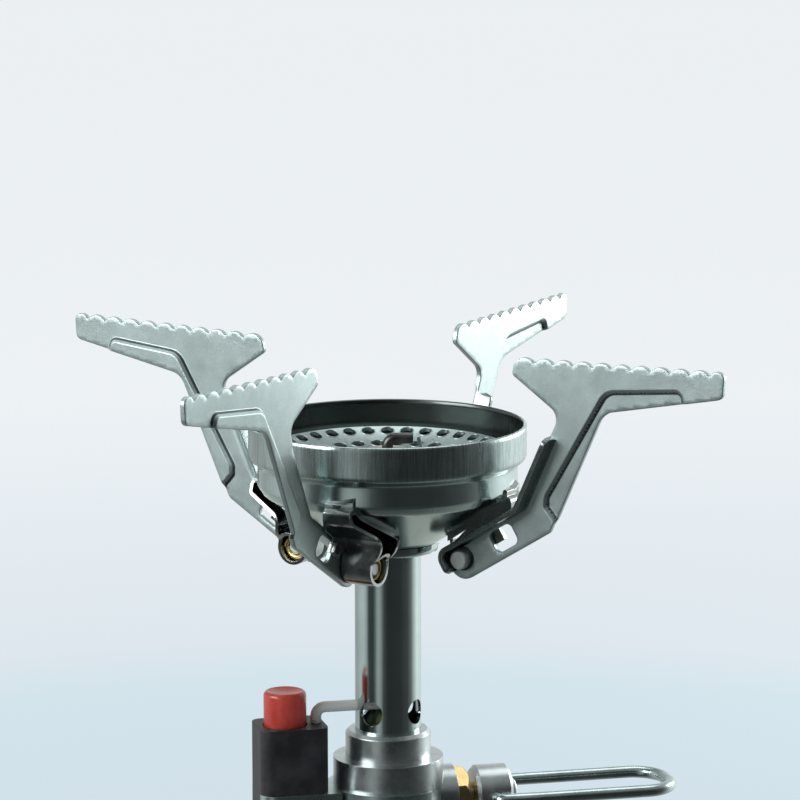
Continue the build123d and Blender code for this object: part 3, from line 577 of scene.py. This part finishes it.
def sheet_body(loop, holes, sag, rounding_back, creases, edge=0.13, grain=0.55):
    """Thick sheet with rounded edges: loop and holes are flat, sag gives its sideways bend,
    and creases are points that its bends' edges pass through."""
    vertices, faces = [], []
    steps = (0.0, 0.13, 0.5, 1.0)
    caps = {}
    for side in (1, -1):
        inner_loops = []
        for number, ring in enumerate([loop] + holes):
            radii = [edge] * len(ring)
            if side < 0 and number == 0:
                radii = [max(edge, r) for r in rounding_back]
            rows = []
            for share in steps:
                # quarter-round: share runs from the sheet's edge to its face
                angle = share * pi / 2
                gap = [r * (1 - cos(angle)) for r in radii]
                flat = ring_inset(ring, gap if number == 0 else [-g for g in gap])
                row = []
                for p, r in zip(flat, radii):
                    drop = r * (1 - sin(angle))
                    z = OFFSET + sag(p) + side * (SHEET / 2 - drop)
                    row.append(len(vertices))
                    vertices.append((p.x, p.y, z))
                rows.append((row, flat))
            for (a, _), (b, _) in zip(rows, rows[1:]):
                size = len(a)
                faces += [(a[i], a[(i + 1) % size], b[(i + 1) % size], b[i]) for i in range(size)]
            inner_loops.append(rows[-1])
            caps[(side, number)] = rows[0][0]
        outer = inner_loops[0][1]
        points, index = [], []
        for row, flat in inner_loops:
            points += flat
            index += row
        openings = [flat for _, flat in inner_loops[1:]]
        bends = [p for p in creases if inside(p, outer) and distance(p, outer) > 0.2]
        for x, y in [tuple(p) for p in bends] + list(grid_points(outer, openings, bends, grain)):
            p = Vector((x, y))
            points.append(p)
            index.append(len(vertices))
            vertices.append((x, y, OFFSET + sag(p) + side * SHEET / 2))
        edges, start = [], 0
        for _, flat in inner_loops:
            edges += [(start + i, start + (i + 1) % len(flat)) for i in range(len(flat))]
            start += len(flat)
        made = geometry.delaunay_2d_cdt(points, edges, [], 0, 1e-5)
        source = [o[0] if o else None for o in made[3]]
        for tri in made[2]:
            middle = sum((made[0][i] for i in tri), Vector((0, 0))) / 3
            if inside(middle, outer) and not any(inside(middle, flat) for flat in openings):
                if None not in [source[i] for i in tri]:
                    faces.append(tuple(index[source[i]] for i in tri))
    for number in range(1 + len(holes)):
        a, b = caps[(1, number)], caps[(-1, number)]
        size = len(a)
        faces += [(a[i], a[(i + 1) % size], b[(i + 1) % size], b[i]) for i in range(size)]
    return vertices, faces


def flange_body(line):
    """Upright rim along the sheet's inner edge, with rounded free edges and ends."""
    line = resample(line, 0.35)
    vertices, faces = [], []
    total = sum((b - a).length for a, b in zip(line, line[1:]))
    gone = 0.0
    left = beside(line, 1.0)
    for k, p in enumerate(line):
        gone += (p - line[k - 1]).length if k else 0.0
        near_end = min(gone, total - gone)
        top = FLANGE_EDGE - (0.9 - sqrt(max(0.0, 0.81 - (0.9 - min(near_end, 0.9)) ** 2)))
        across = left[k] - p
        r = 0.16
        section = [(0.0, OFFSET + 0.1), (0.0, top - r)]
        section += [(r * (1 - cos(a)), top - r + r * sin(a)) for a in (0.5, 1.05, 1.57)]
        section += [(SHEET - r * (1 - cos(a)), top - r + r * sin(a)) for a in (1.57, 1.05, 0.5)]
        section += [(SHEET, top - r), (SHEET, OFFSET + 0.75), (SHEET + 0.12, OFFSET + 0.5),
                    (SHEET + 0.35, OFFSET + 0.36), (SHEET + 0.35, OFFSET + 0.1)]
        size = len(section)
        vertices += [(p.x + across.x * d, p.y + across.y * d, z) for d, z in section]
    for k in range(len(line) - 1):
        a, b = k * size, (k + 1) * size
        faces += [(a + i, b + i, b + (i + 1) % size, a + (i + 1) % size) for i in range(size)]
    faces.append(tuple(range(size)))
    faces.append(tuple((len(line) - 1) * size + i for i in range(size)))
    return vertices, faces


def carry(vertices, number):
    """Carries arm-frame points, height from the rim, to arm number's place."""
    angle = radians(FIRST_ARM + number * 360 / ARMS)
    c, s = cos(angle), sin(angle)
    return [(x * c + z * s, x * s - z * c, RIM + y) for x, y, z in vertices]


def arm_mesh():
    """One arm in the arm frame: vertices, faces and each face's finish mark, two of which carry
    painted shade.
    """
    teeth, around, flange = arm_lines()
    loop = clean_loop(teeth + around[1:], 0.4)
    emboss = emboss_loop()

    def sag(p):
        if not inside(p, emboss):
            return 0.0
        return -EMBOSS_DEPTH * min(1.0, distance(p, emboss) / EMBOSS_SLOPE)

    line = resample(flange, 0.5)
    rounding = []
    for p in loop:
        gap = min((p - q).length for q in line)
        rounding.append(0.13 + 0.62 * smooth(1 - (gap - 0.3) / 1.2))
    creases = []
    for gap in (-0.12, 0.0, 0.12, 0.3, EMBOSS_SLOPE - 0.12, EMBOSS_SLOPE, EMBOSS_SLOPE + 0.12):
        ring = clean_loop(emboss + emboss[:1], 0.3)
        creases += ring_inset(ring, [gap] * len(ring))
    centre = on_leg(7.5, -0.35)
    wide, high = WINDOW
    box = [(-wide, -high), (wide, -high), (wide, high), (-wide, high)]
    corners = [centre + LEG * u + LEG_UP * v for u, v in box]
    start = (corners[0] + corners[1]) / 2
    window = rounded([start, corners[1], corners[2], corners[3], corners[0], start],
                     [0.9] * 4, 0.15)[:-1]
    hole = [PIVOT + Vector((cos(a), sin(a))) * PIN_HOLE
            for a in (2 * pi * k / 28 for k in range(28))]
    body, faces = sheet_body(loop, [clean_loop(window + window[:1], 0.4), hole], sag, rounding,
                             creases)
    # painted shade gathers in the emboss's corner: its outer one on the back, inner on the front
    marks = []
    for face in faces:
        x, y, z = (sum(body[i][k] for i in face) / len(face) for k in range(3))
        low, high = (0.0, 0.32) if z < OFFSET + sag((x, y)) else (0.42, EMBOSS_SLOPE)
        crease_shaded = inside((x, y), emboss) and low < distance((x, y), emboss) < high
        marks.append(CREASE if crease_shaded else PLAIN)
    rim, rim_faces = flange_body(flange)
    start = len(body)
    faces += [tuple(i + start for i in f) for f in rim_faces]
    return body + rim, faces, marks + [FLANGE] * len(rim_faces)


# ---- round parts -------------------------------------------------------------------
def bowl_profile():
    """Closed section of the spun bowl: outer face up, rolled lip, inner face down."""
    outer = rounded(
        [(4.8, -17.2), (7.2, -17.2), (17.9, -10.0), (18.7, -8.8), (18.7, -5.8), (20.0, -4.8),
         (20.0, -0.16)], [1.6, 1.6, 1.0, 0.6, 1.1], 0.12)
    outer = [p + Vector((0, RIM)) for p in resample(outer, 0.6)]
    inner = beside(outer, 0.5)
    lip = [Vector((19.75 + 0.25 * cos(a), RIM - 0.25 + 0.25 * sin(a)))
           for a in (0.5, 1.0, 1.57, 2.1, 2.6)]
    return [tuple(p) for p in outer + lip + inner[::-1]]


PLATE_DEPTH = 6.3
PLATE_FLAT = 6.0
PLATE_DOME = 26.0
PORT_RIM = 1.0
PORT_WIRE = 0.09


def plate_height(radius):
    """Height of the burner plate's upper face: flat in the middle, rising outside it."""
    reach = max(0.0, radius - PLATE_FLAT)
    return RIM - PLATE_DEPTH + PLATE_DOME - sqrt(PLATE_DOME ** 2 - reach ** 2)


# ---- geometry nodes ----------------------------------------------------------------
class Growth:
    """A geometry node tree being built: one call adds any node."""

    def __init__(self, name, sizes):
        self.tree = bpy.data.node_groups.new(name, "GeometryNodeTree")
        self.tree.interface.new_socket("Geometry", in_out="OUTPUT",
                                       socket_type="NodeSocketGeometry")
        self.keys = {}
        for label, (kind, value) in sizes.items():
            item = self.tree.interface.new_socket(label, in_out="INPUT",
                                                  socket_type="NodeSocket" + kind)
            self.keys[label] = (item.identifier, value)
        self.inputs = self.tree.nodes.new("NodeGroupInput")

    def node(self, kind, settings=None, values=None, output=0):
        node = self.tree.nodes.new(kind)
        for key, value in (settings or {}).items():
            setattr(node, key, value)
        for key, value in (values or {}).items():
            slot = node.inputs[key]
            if isinstance(value, str) and value in self.keys:
                self.tree.links.new(self.inputs.outputs[value], slot)
            elif isinstance(value, bpy.types.NodeSocket):
                self.tree.links.new(value, slot)
            else:
                slot.default_value = value
        return node.outputs[output]

    def grow(self, name, geometry_socket, material):
        """Runs the tree once and returns its result as a plain mesh object."""
        real = self.node("GeometryNodeRealizeInstances", None, {"Geometry": geometry_socket})
        done = self.node("GeometryNodeSetMaterial", None, {
            "Geometry": real, "Material": material})
        out = self.tree.nodes.new("NodeGroupOutput")
        self.tree.links.new(done, out.inputs[0])
        carrier = bpy.data.objects.new(name + "_carrier", bpy.data.meshes.new(name + "_carrier"))
        bpy.context.scene.collection.objects.link(carrier)
        modifier = carrier.modifiers.new("growth", "NODES")
        modifier.node_group = self.tree
        for identifier, value in self.keys.values():
            modifier[identifier] = value
        depsgraph = bpy.context.evaluated_depsgraph_get()
        mesh = bpy.data.meshes.new_from_object(
            carrier.evaluated_get(depsgraph), depsgraph=depsgraph)
        bpy.data.objects.remove(carrier)
        mesh.name = name
        thing = bpy.data.objects.new(name, mesh)
        bpy.context.scene.collection.objects.link(thing)
        for polygon in mesh.polygons:
            polygon.use_smooth = True
        return thing


def port_rims(name, radius, count, first, material):
    """One row of raised rims round the burner plate's ports."""
    slope = (radius - PLATE_FLAT) / sqrt(PLATE_DOME ** 2 - (radius - PLATE_FLAT) ** 2)
    g = Growth(name, {
        "Row radius": ("Float", radius * MM), "Ports": ("Int", count),
        "First port": ("Float", radians(first)),
        "Height": ("Float", plate_height(radius) * MM), "Rim radius": ("Float", PORT_RIM * MM),
        "Rim wire": ("Float", PORT_WIRE * MM), "Tilt": ("Float", -slope / (radius * MM))})
    row = g.node("GeometryNodeMeshCircle", None, {"Vertices": "Ports", "Radius": "Row radius"})
    lift = g.node("ShaderNodeCombineXYZ", None, {"Z": "Height"})
    spin = g.node("ShaderNodeCombineXYZ", None, {"Z": "First port"})
    row = g.node("GeometryNodeTransform", None, {
        "Geometry": row, "Translation": lift, "Rotation": spin})
    ring = g.node("GeometryNodeCurvePrimitiveCircle", None, {
        "Resolution": 20, "Radius": "Rim radius"})
    wire = g.node("GeometryNodeCurvePrimitiveCircle", None, {
        "Resolution": 8, "Radius": "Rim wire"})
    rim = g.node("GeometryNodeCurveToMesh", None, {"Curve": ring, "Profile Curve": wire})
    at = g.node("GeometryNodeInputPosition")
    flat = g.node("ShaderNodeVectorMath", {"operation": "MULTIPLY"}, {0: at, 1: (1, 1, 0)})
    lean = g.node("ShaderNodeVectorMath", {"operation": "SCALE"}, {"Vector": flat, "Scale": "Tilt"})
    up = g.node("ShaderNodeVectorMath", {"operation": "ADD"}, {0: lean, 1: (0, 0, 1)})
    turn = g.node("FunctionNodeAlignEulerToVector", {"axis": "Z"}, {"Vector": up})
    rims = g.node("GeometryNodeInstanceOnPoints", None, {
        "Points": row, "Instance": rim, "Rotation": turn})
    return g.grow(name, rims, material)


def thread(name, radius, start, height, pitch, material):
    """Ridge of an inside screw thread."""
    g = Growth(name, {
        "Radius": ("Float", radius * MM), "Turns": ("Float", height / pitch),
        "Length": ("Float", height * MM), "Depth": ("Float", 0.22 * MM)})
    line = g.node("GeometryNodeCurveSpiral", None, {
        "Resolution": 48, "Rotations": "Turns", "Start Radius": "Radius",
        "End Radius": "Radius", "Height": "Length"})
    section = g.node("GeometryNodeCurvePrimitiveCircle", None, {
        "Resolution": 4, "Radius": "Depth"})
    ridge = g.node("GeometryNodeCurveToMesh", None, {
        "Curve": line, "Profile Curve": section, "Fill Caps": True})
    ridge = g.node("GeometryNodeTransform", None, {
        "Geometry": ridge, "Translation": (0, 0, start * MM)})
    return g.grow(name, ridge, material)


# ---- sizes and colours a user may change -------------------------------------------
class StoveFinishSettings(bpy.types.PropertyGroup):
    steel_light: bpy.props.FloatVectorProperty(
        name="Steel light", description="Brighter tone of the stainless parts",
        subtype="COLOR", size=4, min=0, max=1, default=(0.57, 0.67, 0.665, 1))
    steel_dark: bpy.props.FloatVectorProperty(
        name="Steel dark", description="Darker tone of the stainless parts",
        subtype="COLOR", size=4, min=0, max=1, default=(0.42, 0.50, 0.495, 1))
    arm_roughness: bpy.props.FloatProperty(
        name="Arm roughness", description="How satin the support arms are",
        min=0, max=1, default=0.46)
    bowl_roughness: bpy.props.FloatProperty(
        name="Bowl roughness", description="How satin the bowl is", min=0, max=1, default=0.18)
    button_colour: bpy.props.FloatVectorProperty(
        name="Button colour", description="Colour of the igniter's push button",
        subtype="COLOR", size=4, min=0, max=1, default=(0.42, 0.03, 0.02, 1))


class StoveStageSettings(bpy.types.PropertyGroup):
    view_distance: bpy.props.FloatProperty(
        name="View distance", description="From the bowl's rim to the camera",
        unit="LENGTH", default=0.6371)
    view_elevation: bpy.props.FloatProperty(
        name="View elevation", description="Camera's height above the rim as an angle",
        subtype="ANGLE", default=radians(10.315))
    view_turn: bpy.props.FloatProperty(
        name="View turn", description="Camera's turn round the stove",
        subtype="ANGLE", default=radians(-13.65))
    sky: bpy.props.FloatVectorProperty(
        name="Sky", description="Colour of the studio's surroundings",
        subtype="COLOR", size=4, min=0, max=1, default=(0.80, 0.88, 0.92, 1))


@cache
def finishes():
    """The finish of each kind of part, made once."""
    s = bpy.context.scene.stove_finish
    light, dark = tuple(s.steel_light), tuple(s.steel_dark)
    return {
        "arm_steel": pressed_steel("arm_steel", light, dark, s.arm_roughness, 0.016),
        # painted shade for the emboss's creases: a much darker copy of the arm steel
        "crease_shade_steel": pressed_steel("crease_shade_steel", rgb(0.17, 0.195, 0.195),
                                      rgb(0.09, 0.105, 0.105), 0.4, 0.01),
        # painted shade on the flange, the same sheet as the arm: a darker tone, with a glossier
        # finish
        "flange_shade_steel": pressed_steel("flange_shade_steel", rgb(0.40, 0.45, 0.445),
                                      rgb(0.26, 0.30, 0.295), 0.27, 0.008),
        "bowl_steel": spun_steel("bowl_steel", light, dark, s.bowl_roughness, 0.012, 0.85),
        "plate_steel": pressed_steel("plate_steel", light, dark, 0.3, 0.01),
        "bracket_steel": turned_metal("bracket_steel", rgb(0.46, 0.49, 0.485),
                                      rgb(0.30, 0.32, 0.315), 0.16, 0.16),
        "tube_steel": spun_steel("tube_steel", light, dark, 0.13, 0.003),
        "pin_steel": turned_metal("pin_steel", rgb(0.84, 0.88, 0.88),
                                  rgb(0.70, 0.74, 0.74), 0.5, 0.08),
        # painted shade: the near-black washer stands for the shadow in the hole round the pin
        "washer_steel": turned_metal("washer_steel", rgb(0.12, 0.125, 0.13),
                                     rgb(0.05, 0.05, 0.055), 0.42, 0.05),
        "spring_bronze": turned_metal("spring_bronze", rgb(0.86, 0.66, 0.30),
                                      rgb(0.62, 0.44, 0.18), 0.25, 0.02),
        "brass": turned_metal("brass", rgb(0.83, 0.64, 0.30), rgb(0.60, 0.44, 0.19), 0.28),
        "socket_alloy": turned_metal("socket_alloy", rgb(0.50, 0.53, 0.55),
                                     rgb(0.36, 0.39, 0.41), 0.36, 0.15),
        "valve_alloy": turned_metal("valve_alloy", rgb(0.66, 0.70, 0.71),
                                    rgb(0.50, 0.53, 0.54), 0.3, 0.15),
        "spring_steel": turned_metal("spring_steel", light, dark, 0.3, 0.06),
        "handle_steel": turned_metal("handle_steel", light, dark, 0.2, 0.05),
        "hub_alloy": turned_metal("hub_alloy", rgb(0.66, 0.70, 0.71),
                                  rgb(0.50, 0.53, 0.54), 0.32),
        "electrode_steel": turned_metal("electrode_steel", rgb(0.15, 0.155, 0.15),
                                        rgb(0.07, 0.07, 0.065), 0.34, 0.1),
        "rubber": moulded("rubber", rgb(0.012, 0.012, 0.013), rgb(0.03, 0.03, 0.03), 0.55),
        "ceramic": ceramic("ceramic"),
        "case_plastic": moulded("case_plastic", rgb(0.014, 0.014, 0.016),
                                rgb(0.035, 0.035, 0.037), 0.48),
        "button_plastic": moulded("button_plastic", tuple(s.button_colour),
                                  rgb(0.50, 0.06, 0.04), 0.3, 0.3, 0.25),
        "piezo_plastic": moulded("piezo_plastic", rgb(0.60, 0.60, 0.57),
                                 rgb(0.45, 0.45, 0.42), 0.5),
        "lead_sleeve": woven_sleeve("lead_sleeve"),
        "filter_bronze": sintered("filter_bronze"),
    }


# ---- operators ---------------------------------------------------------------------
class StoveFinishParts(bpy.types.Operator):
    """Give every carried-over part its finish and soften its corners"""
    bl_idname = "stove.finish_parts"
    bl_label = "Finish parts"

    def execute(self, context):
        made = finishes()
        slots = {p["node"]: p["material_slot"] for p in frame["record"]["subparts"]}
        for node, thing in frame["nodes"].items():
            material = made[slots[node]]
            thing.data.materials.clear()
            thing.data.materials.append(material)
        return {"FINISHED"}


class StoveAddArms(bpy.types.Operator):
    """Press the four toothed support arms out of sheet"""
    bl_idname = "stove.add_arms"
    bl_label = "Support arms"

    def execute(self, context):
        vertices, faces, marks = arm_mesh()
        for number in range(ARMS):
            arm = make_object(f"arm_sheet_{number + 1}", carry(vertices, number), faces,
                              finishes()["arm_steel"])
            arm.data.materials.append(finishes()["flange_shade_steel"])
            arm.data.materials.append(finishes()["crease_shade_steel"])
            for face, mark in zip(arm.data.polygons, marks):
                face.material_index = mark
            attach(arm, f"arm_{number + 1}")
            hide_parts(f"support_arm_{number + 1}")
        return {"FINISHED"}


class StoveAddBowl(bpy.types.Operator):
    """Spin the burner bowl with its rolled lip and drawn-in band"""
    bl_idname = "stove.add_bowl"
    bl_label = "Burner bowl"

    def execute(self, context):
        vertices, faces = lathe(bowl_profile(), 288)
        bowl = make_object("bowl_shell", vertices, faces, finishes()["bowl_steel"])
        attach(bowl, "stove")
        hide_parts("burner_bowl")
        return {"FINISHED"}


class StoveAddPorts(bpy.types.Operator):
    """Raise the rims of the burner plate's ports"""
    bl_idname = "stove.add_ports"
    bl_label = "Port rims"

    def execute(self, context):
        rows = ((16.3, 36, 6.35), (12.9, 28, 5.64), (9.7, 20, 13.35))
        for row, (radius, count, first) in enumerate(rows):
            rims = port_rims(f"port_rims_{row + 1}", radius, count, first,
                             finishes()["plate_steel"])
            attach(rims, "stove")
        return {"FINISHED"}


class StoveAddThread(bpy.types.Operator):
    """Cut the canister thread inside the socket"""
    bl_idname = "stove.add_thread"
    bl_label = "Canister thread"

    def execute(self, context):
        ridge = thread("canister_thread_ridge", 5.12, 0.5, 5.0, 0.907,
                       finishes()["socket_alloy"])
        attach(ridge, "stove")
        return {"FINISHED"}


def lamp(name, place, target, size, power, tint=(1, 1, 1)):
    """Square soft light that faces a point; lengths in metres."""
    data = bpy.data.lights.new(name, "AREA")
    data.shape = "RECTANGLE"
    data.size, data.size_y = size
    data.energy = power
    data.color = tint
    thing = bpy.data.objects.new(name, data)
    aim = (Vector(target) - Vector(place)).to_track_quat("-Z", "Y")
    thing.matrix_world = Matrix.Translation(place) @ aim.to_matrix().to_4x4()
    bpy.context.scene.collection.objects.link(thing)
    return thing


def studio_world(turn):
    """Studio round the stove: white paper behind and to the right, a soft window on the
    front left, and an unlit room in front. Seen directly, it is plain pale paper."""
    world = bpy.data.worlds.new("studio")
    world.use_nodes = True
    tree = world.node_tree
    tree.nodes.clear()

    def add(kind, **links):
        node = tree.nodes.new(kind)
        for key, value in links.items():
            slot = node.inputs[int(key[1:])]
            if isinstance(value, bpy.types.NodeSocket):
                tree.links.new(value, slot)
            else:
                slot.default_value = value
        return node

    way = add("ShaderNodeTexCoord").outputs["Generated"]
    turned = add("ShaderNodeVectorRotate", i0=way, i3=pi - turn)
    turned.rotation_type = "Z_AXIS"
    apart = add("ShaderNodeSeparateXYZ", i0=turned.outputs[0])
    x, y, z = apart.outputs
    # heading runs from 0 to 1 anticlockwise round the stove, with the front at the middle
    mirrored = add("ShaderNodeMath", i0=x, i1=-1.0)
    mirrored.operation = "MULTIPLY"
    angle = add("ShaderNodeMath", i0=mirrored.outputs[0], i1=y)
    angle.operation = "ARCTAN2"
    heading = add("ShaderNodeMapRange", i0=angle.outputs[0], i1=-pi, i2=pi).outputs[0]
    ring = add("ShaderNodeValToRGB", i0=heading)
    shades = ((-180, 0.75), (-140, 0.45), (-110, 0.75), (-94, 0.80), (-81, 0.60), (-71, 0.07),
              (-51, 0.05), (-43, 0.25), (-35, 0.62), (-24, 0.42), (-14, 0.08), (0, 0.03),
              (45, 0.04), (72, 0.09), (88, 0.22), (102, 0.8), (120, 1.45), (150, 1.1), (180, 0.75))
    elements = ring.color_ramp.elements
    while len(elements) < len(shades):
        elements.new(0.5)
    for element, (place, shade) in zip(elements, shades):
        element.position = (place + 180) / 360
        element.color = (shade * 0.94, shade, shade * 0.99, 1)
    # low down the room is dark in front and paler behind, and overhead it is softly lit
    behind = add("ShaderNodeMapRange", i0=y, i1=0.3, i2=-0.7).outputs[0]
    ground = add("ShaderNodeMix", i0=behind, i6=(0.05, 0.06, 0.06, 1), i7=(0.46, 0.48, 0.44, 1))
    ground.data_type = "RGBA"
    height = add("ShaderNodeMapRange", i0=z, i1=-0.75, i2=-0.12).outputs[0]
    low = add("ShaderNodeMix", i0=height, i6=ground.outputs[2], i7=ring.outputs[0])
    low.data_type = "RGBA"
    roof = add("ShaderNodeMapRange", i0=z, i1=0.35, i2=0.8).outputs[0]
    lit = add("ShaderNodeMix", i0=roof, i6=low.outputs[2], i7=(0.30, 0.32, 0.32, 1))
    lit.data_type = "RGBA"
    studio = add("ShaderNodeBackground", i0=lit.outputs[2], i1=1.0)
    paper = add("ShaderNodeBackground", i0=(0.87, 0.905, 0.93, 1), i1=1.0)
    seen = add("ShaderNodeLightPath").outputs["Is Camera Ray"]
    both = add("ShaderNodeMixShader", i0=seen, i1=studio.outputs[0], i2=paper.outputs[0])
    out = tree.nodes.new("ShaderNodeOutputWorld")
    tree.links.new(both.outputs[0], out.inputs[0])
    return world


LENS = 199.92
SENSOR = 36.0
AIM = (0.002889, -0.174933, -0.001843)      # camera's heading, tilt and roll in radians
FLOOR_RINGS = (100.0, 300.0, 1000.0, 3000.0, 8000.0)
FLOOR_SIDES = 64


def view_camera(settings, centre, turn):
    """Camera at its distance and height from the centre, aimed by AIM."""
    data = bpy.data.cameras.new("camera")
    data.lens = LENS
    data.sensor_width = SENSOR
    data.clip_start = 0.01
    data.clip_end = 50
    away, up = settings.view_distance, settings.view_elevation
    place = Vector((0, -away * cos(up), away * sin(up)))
    yaw, pitch, roll = AIM
    ahead = Vector((sin(yaw) * cos(pitch), cos(yaw) * cos(pitch), sin(pitch)))
    right = ahead.cross(Vector((0, 0, 1))).normalized()
    above = right.cross(ahead)
    right, above = (right * cos(roll) + above * sin(roll),
                    above * cos(roll) - right * sin(roll))
    pose = Matrix((right, above, -ahead)).transposed().to_4x4()
    camera = bpy.data.objects.new("camera", data)
    camera.matrix_world = Matrix.Translation(centre) @ turn @ Matrix.Translation(place) @ pose
    bpy.context.scene.collection.objects.link(camera)
    return camera


def floor_mesh():
    """Round sheet of paper in rings, for the floor."""
    vertices, faces = [], []
    for ring in FLOOR_RINGS:
        angles = [2 * pi * k / FLOOR_SIDES for k in range(FLOOR_SIDES)]
        vertices += [(ring * cos(a), ring * sin(a), 0) for a in angles]
    for row in range(len(FLOOR_RINGS) - 1):
        for k in range(FLOOR_SIDES):
            a, b = row * FLOOR_SIDES + k, row * FLOOR_SIDES + (k + 1) % FLOOR_SIDES
            faces.append((a, b, b + FLOOR_SIDES, a + FLOOR_SIDES))
    faces.append(tuple(range(FLOOR_SIDES)))
    return vertices, faces


class StoveSetStage(bpy.types.Operator):
    """Lay the floor, set the lights and place the camera"""
    bl_idname = "stove.set_stage"
    bl_label = "Stage"

    def execute(self, context):
        s = context.scene.stove_stage
        turn = Matrix.Rotation(s.view_turn, 4, "Z")
        centre = Vector((0, 0, RIM * MM))
        context.scene.camera = view_camera(s, centre, turn)
        floor = make_object("floor", *floor_mesh(), floor_finish("floor_paper"))
        floor.visible_glossy = False

        def around(side, back, up):
            """Place in the camera's own left-right and near-far directions."""
            return centre + (turn @ Vector((side, back, up)))

        lamp("top", around(0.05, 0.3, 0.9), centre, (0.8, 0.6), 2.5, (0.96, 1.0, 1.0))
        lamp("left front", around(-0.44, -0.22, 0.21), centre, (0.36, 0.26), 2.2, (0.97, 1.0, 1.0))
        lamp("right back", around(0.22, 0.13, 0.03), around(0.03, 0.03, 0), (0.12, 0.08), 0.25,
             (0.98, 1.0, 1.0))
        context.scene.world = studio_world(s.view_turn)
        context.scene.view_settings.view_transform = "Standard"
        return {"FINISHED"}


class StovePanel(bpy.types.Panel):
    """Buttons that build the stove's looks"""
    bl_idname = "VIEW3D_PT_stove"
    bl_label = "Stove"
    bl_space_type = "VIEW_3D"
    bl_region_type = "UI"
    bl_category = "Stove"

    def draw(self, context):
        for operator in OPERATORS:
            self.layout.operator(operator.bl_idname)
        for group in (context.scene.stove_finish, context.scene.stove_stage):
            for name in group.__annotations__:
                self.layout.prop(group, name)


OPERATORS = (StoveFinishParts, StoveAddArms, StoveAddBowl, StoveAddPorts, StoveAddThread,
             StoveSetStage)
CLASSES = (StoveFinishSettings, StoveStageSettings) + OPERATORS + (StovePanel,)


def register():
    for item in CLASSES:
        bpy.utils.register_class(item)
    bpy.types.Scene.stove_finish = bpy.props.PointerProperty(type=StoveFinishSettings)
    bpy.types.Scene.stove_stage = bpy.props.PointerProperty(type=StoveStageSettings)


def unregister():
    del bpy.types.Scene.stove_stage
    del bpy.types.Scene.stove_finish
    for item in reversed(CLASSES):
        bpy.utils.unregister_class(item)


def main():
    register()
    bpy.ops.stove.finish_parts()
    bpy.ops.stove.add_arms()
    bpy.ops.stove.add_bowl()
    bpy.ops.stove.add_ports()
    bpy.ops.stove.add_thread()
    bpy.ops.stove.set_stage()


if __name__ == "__main__":
    main()
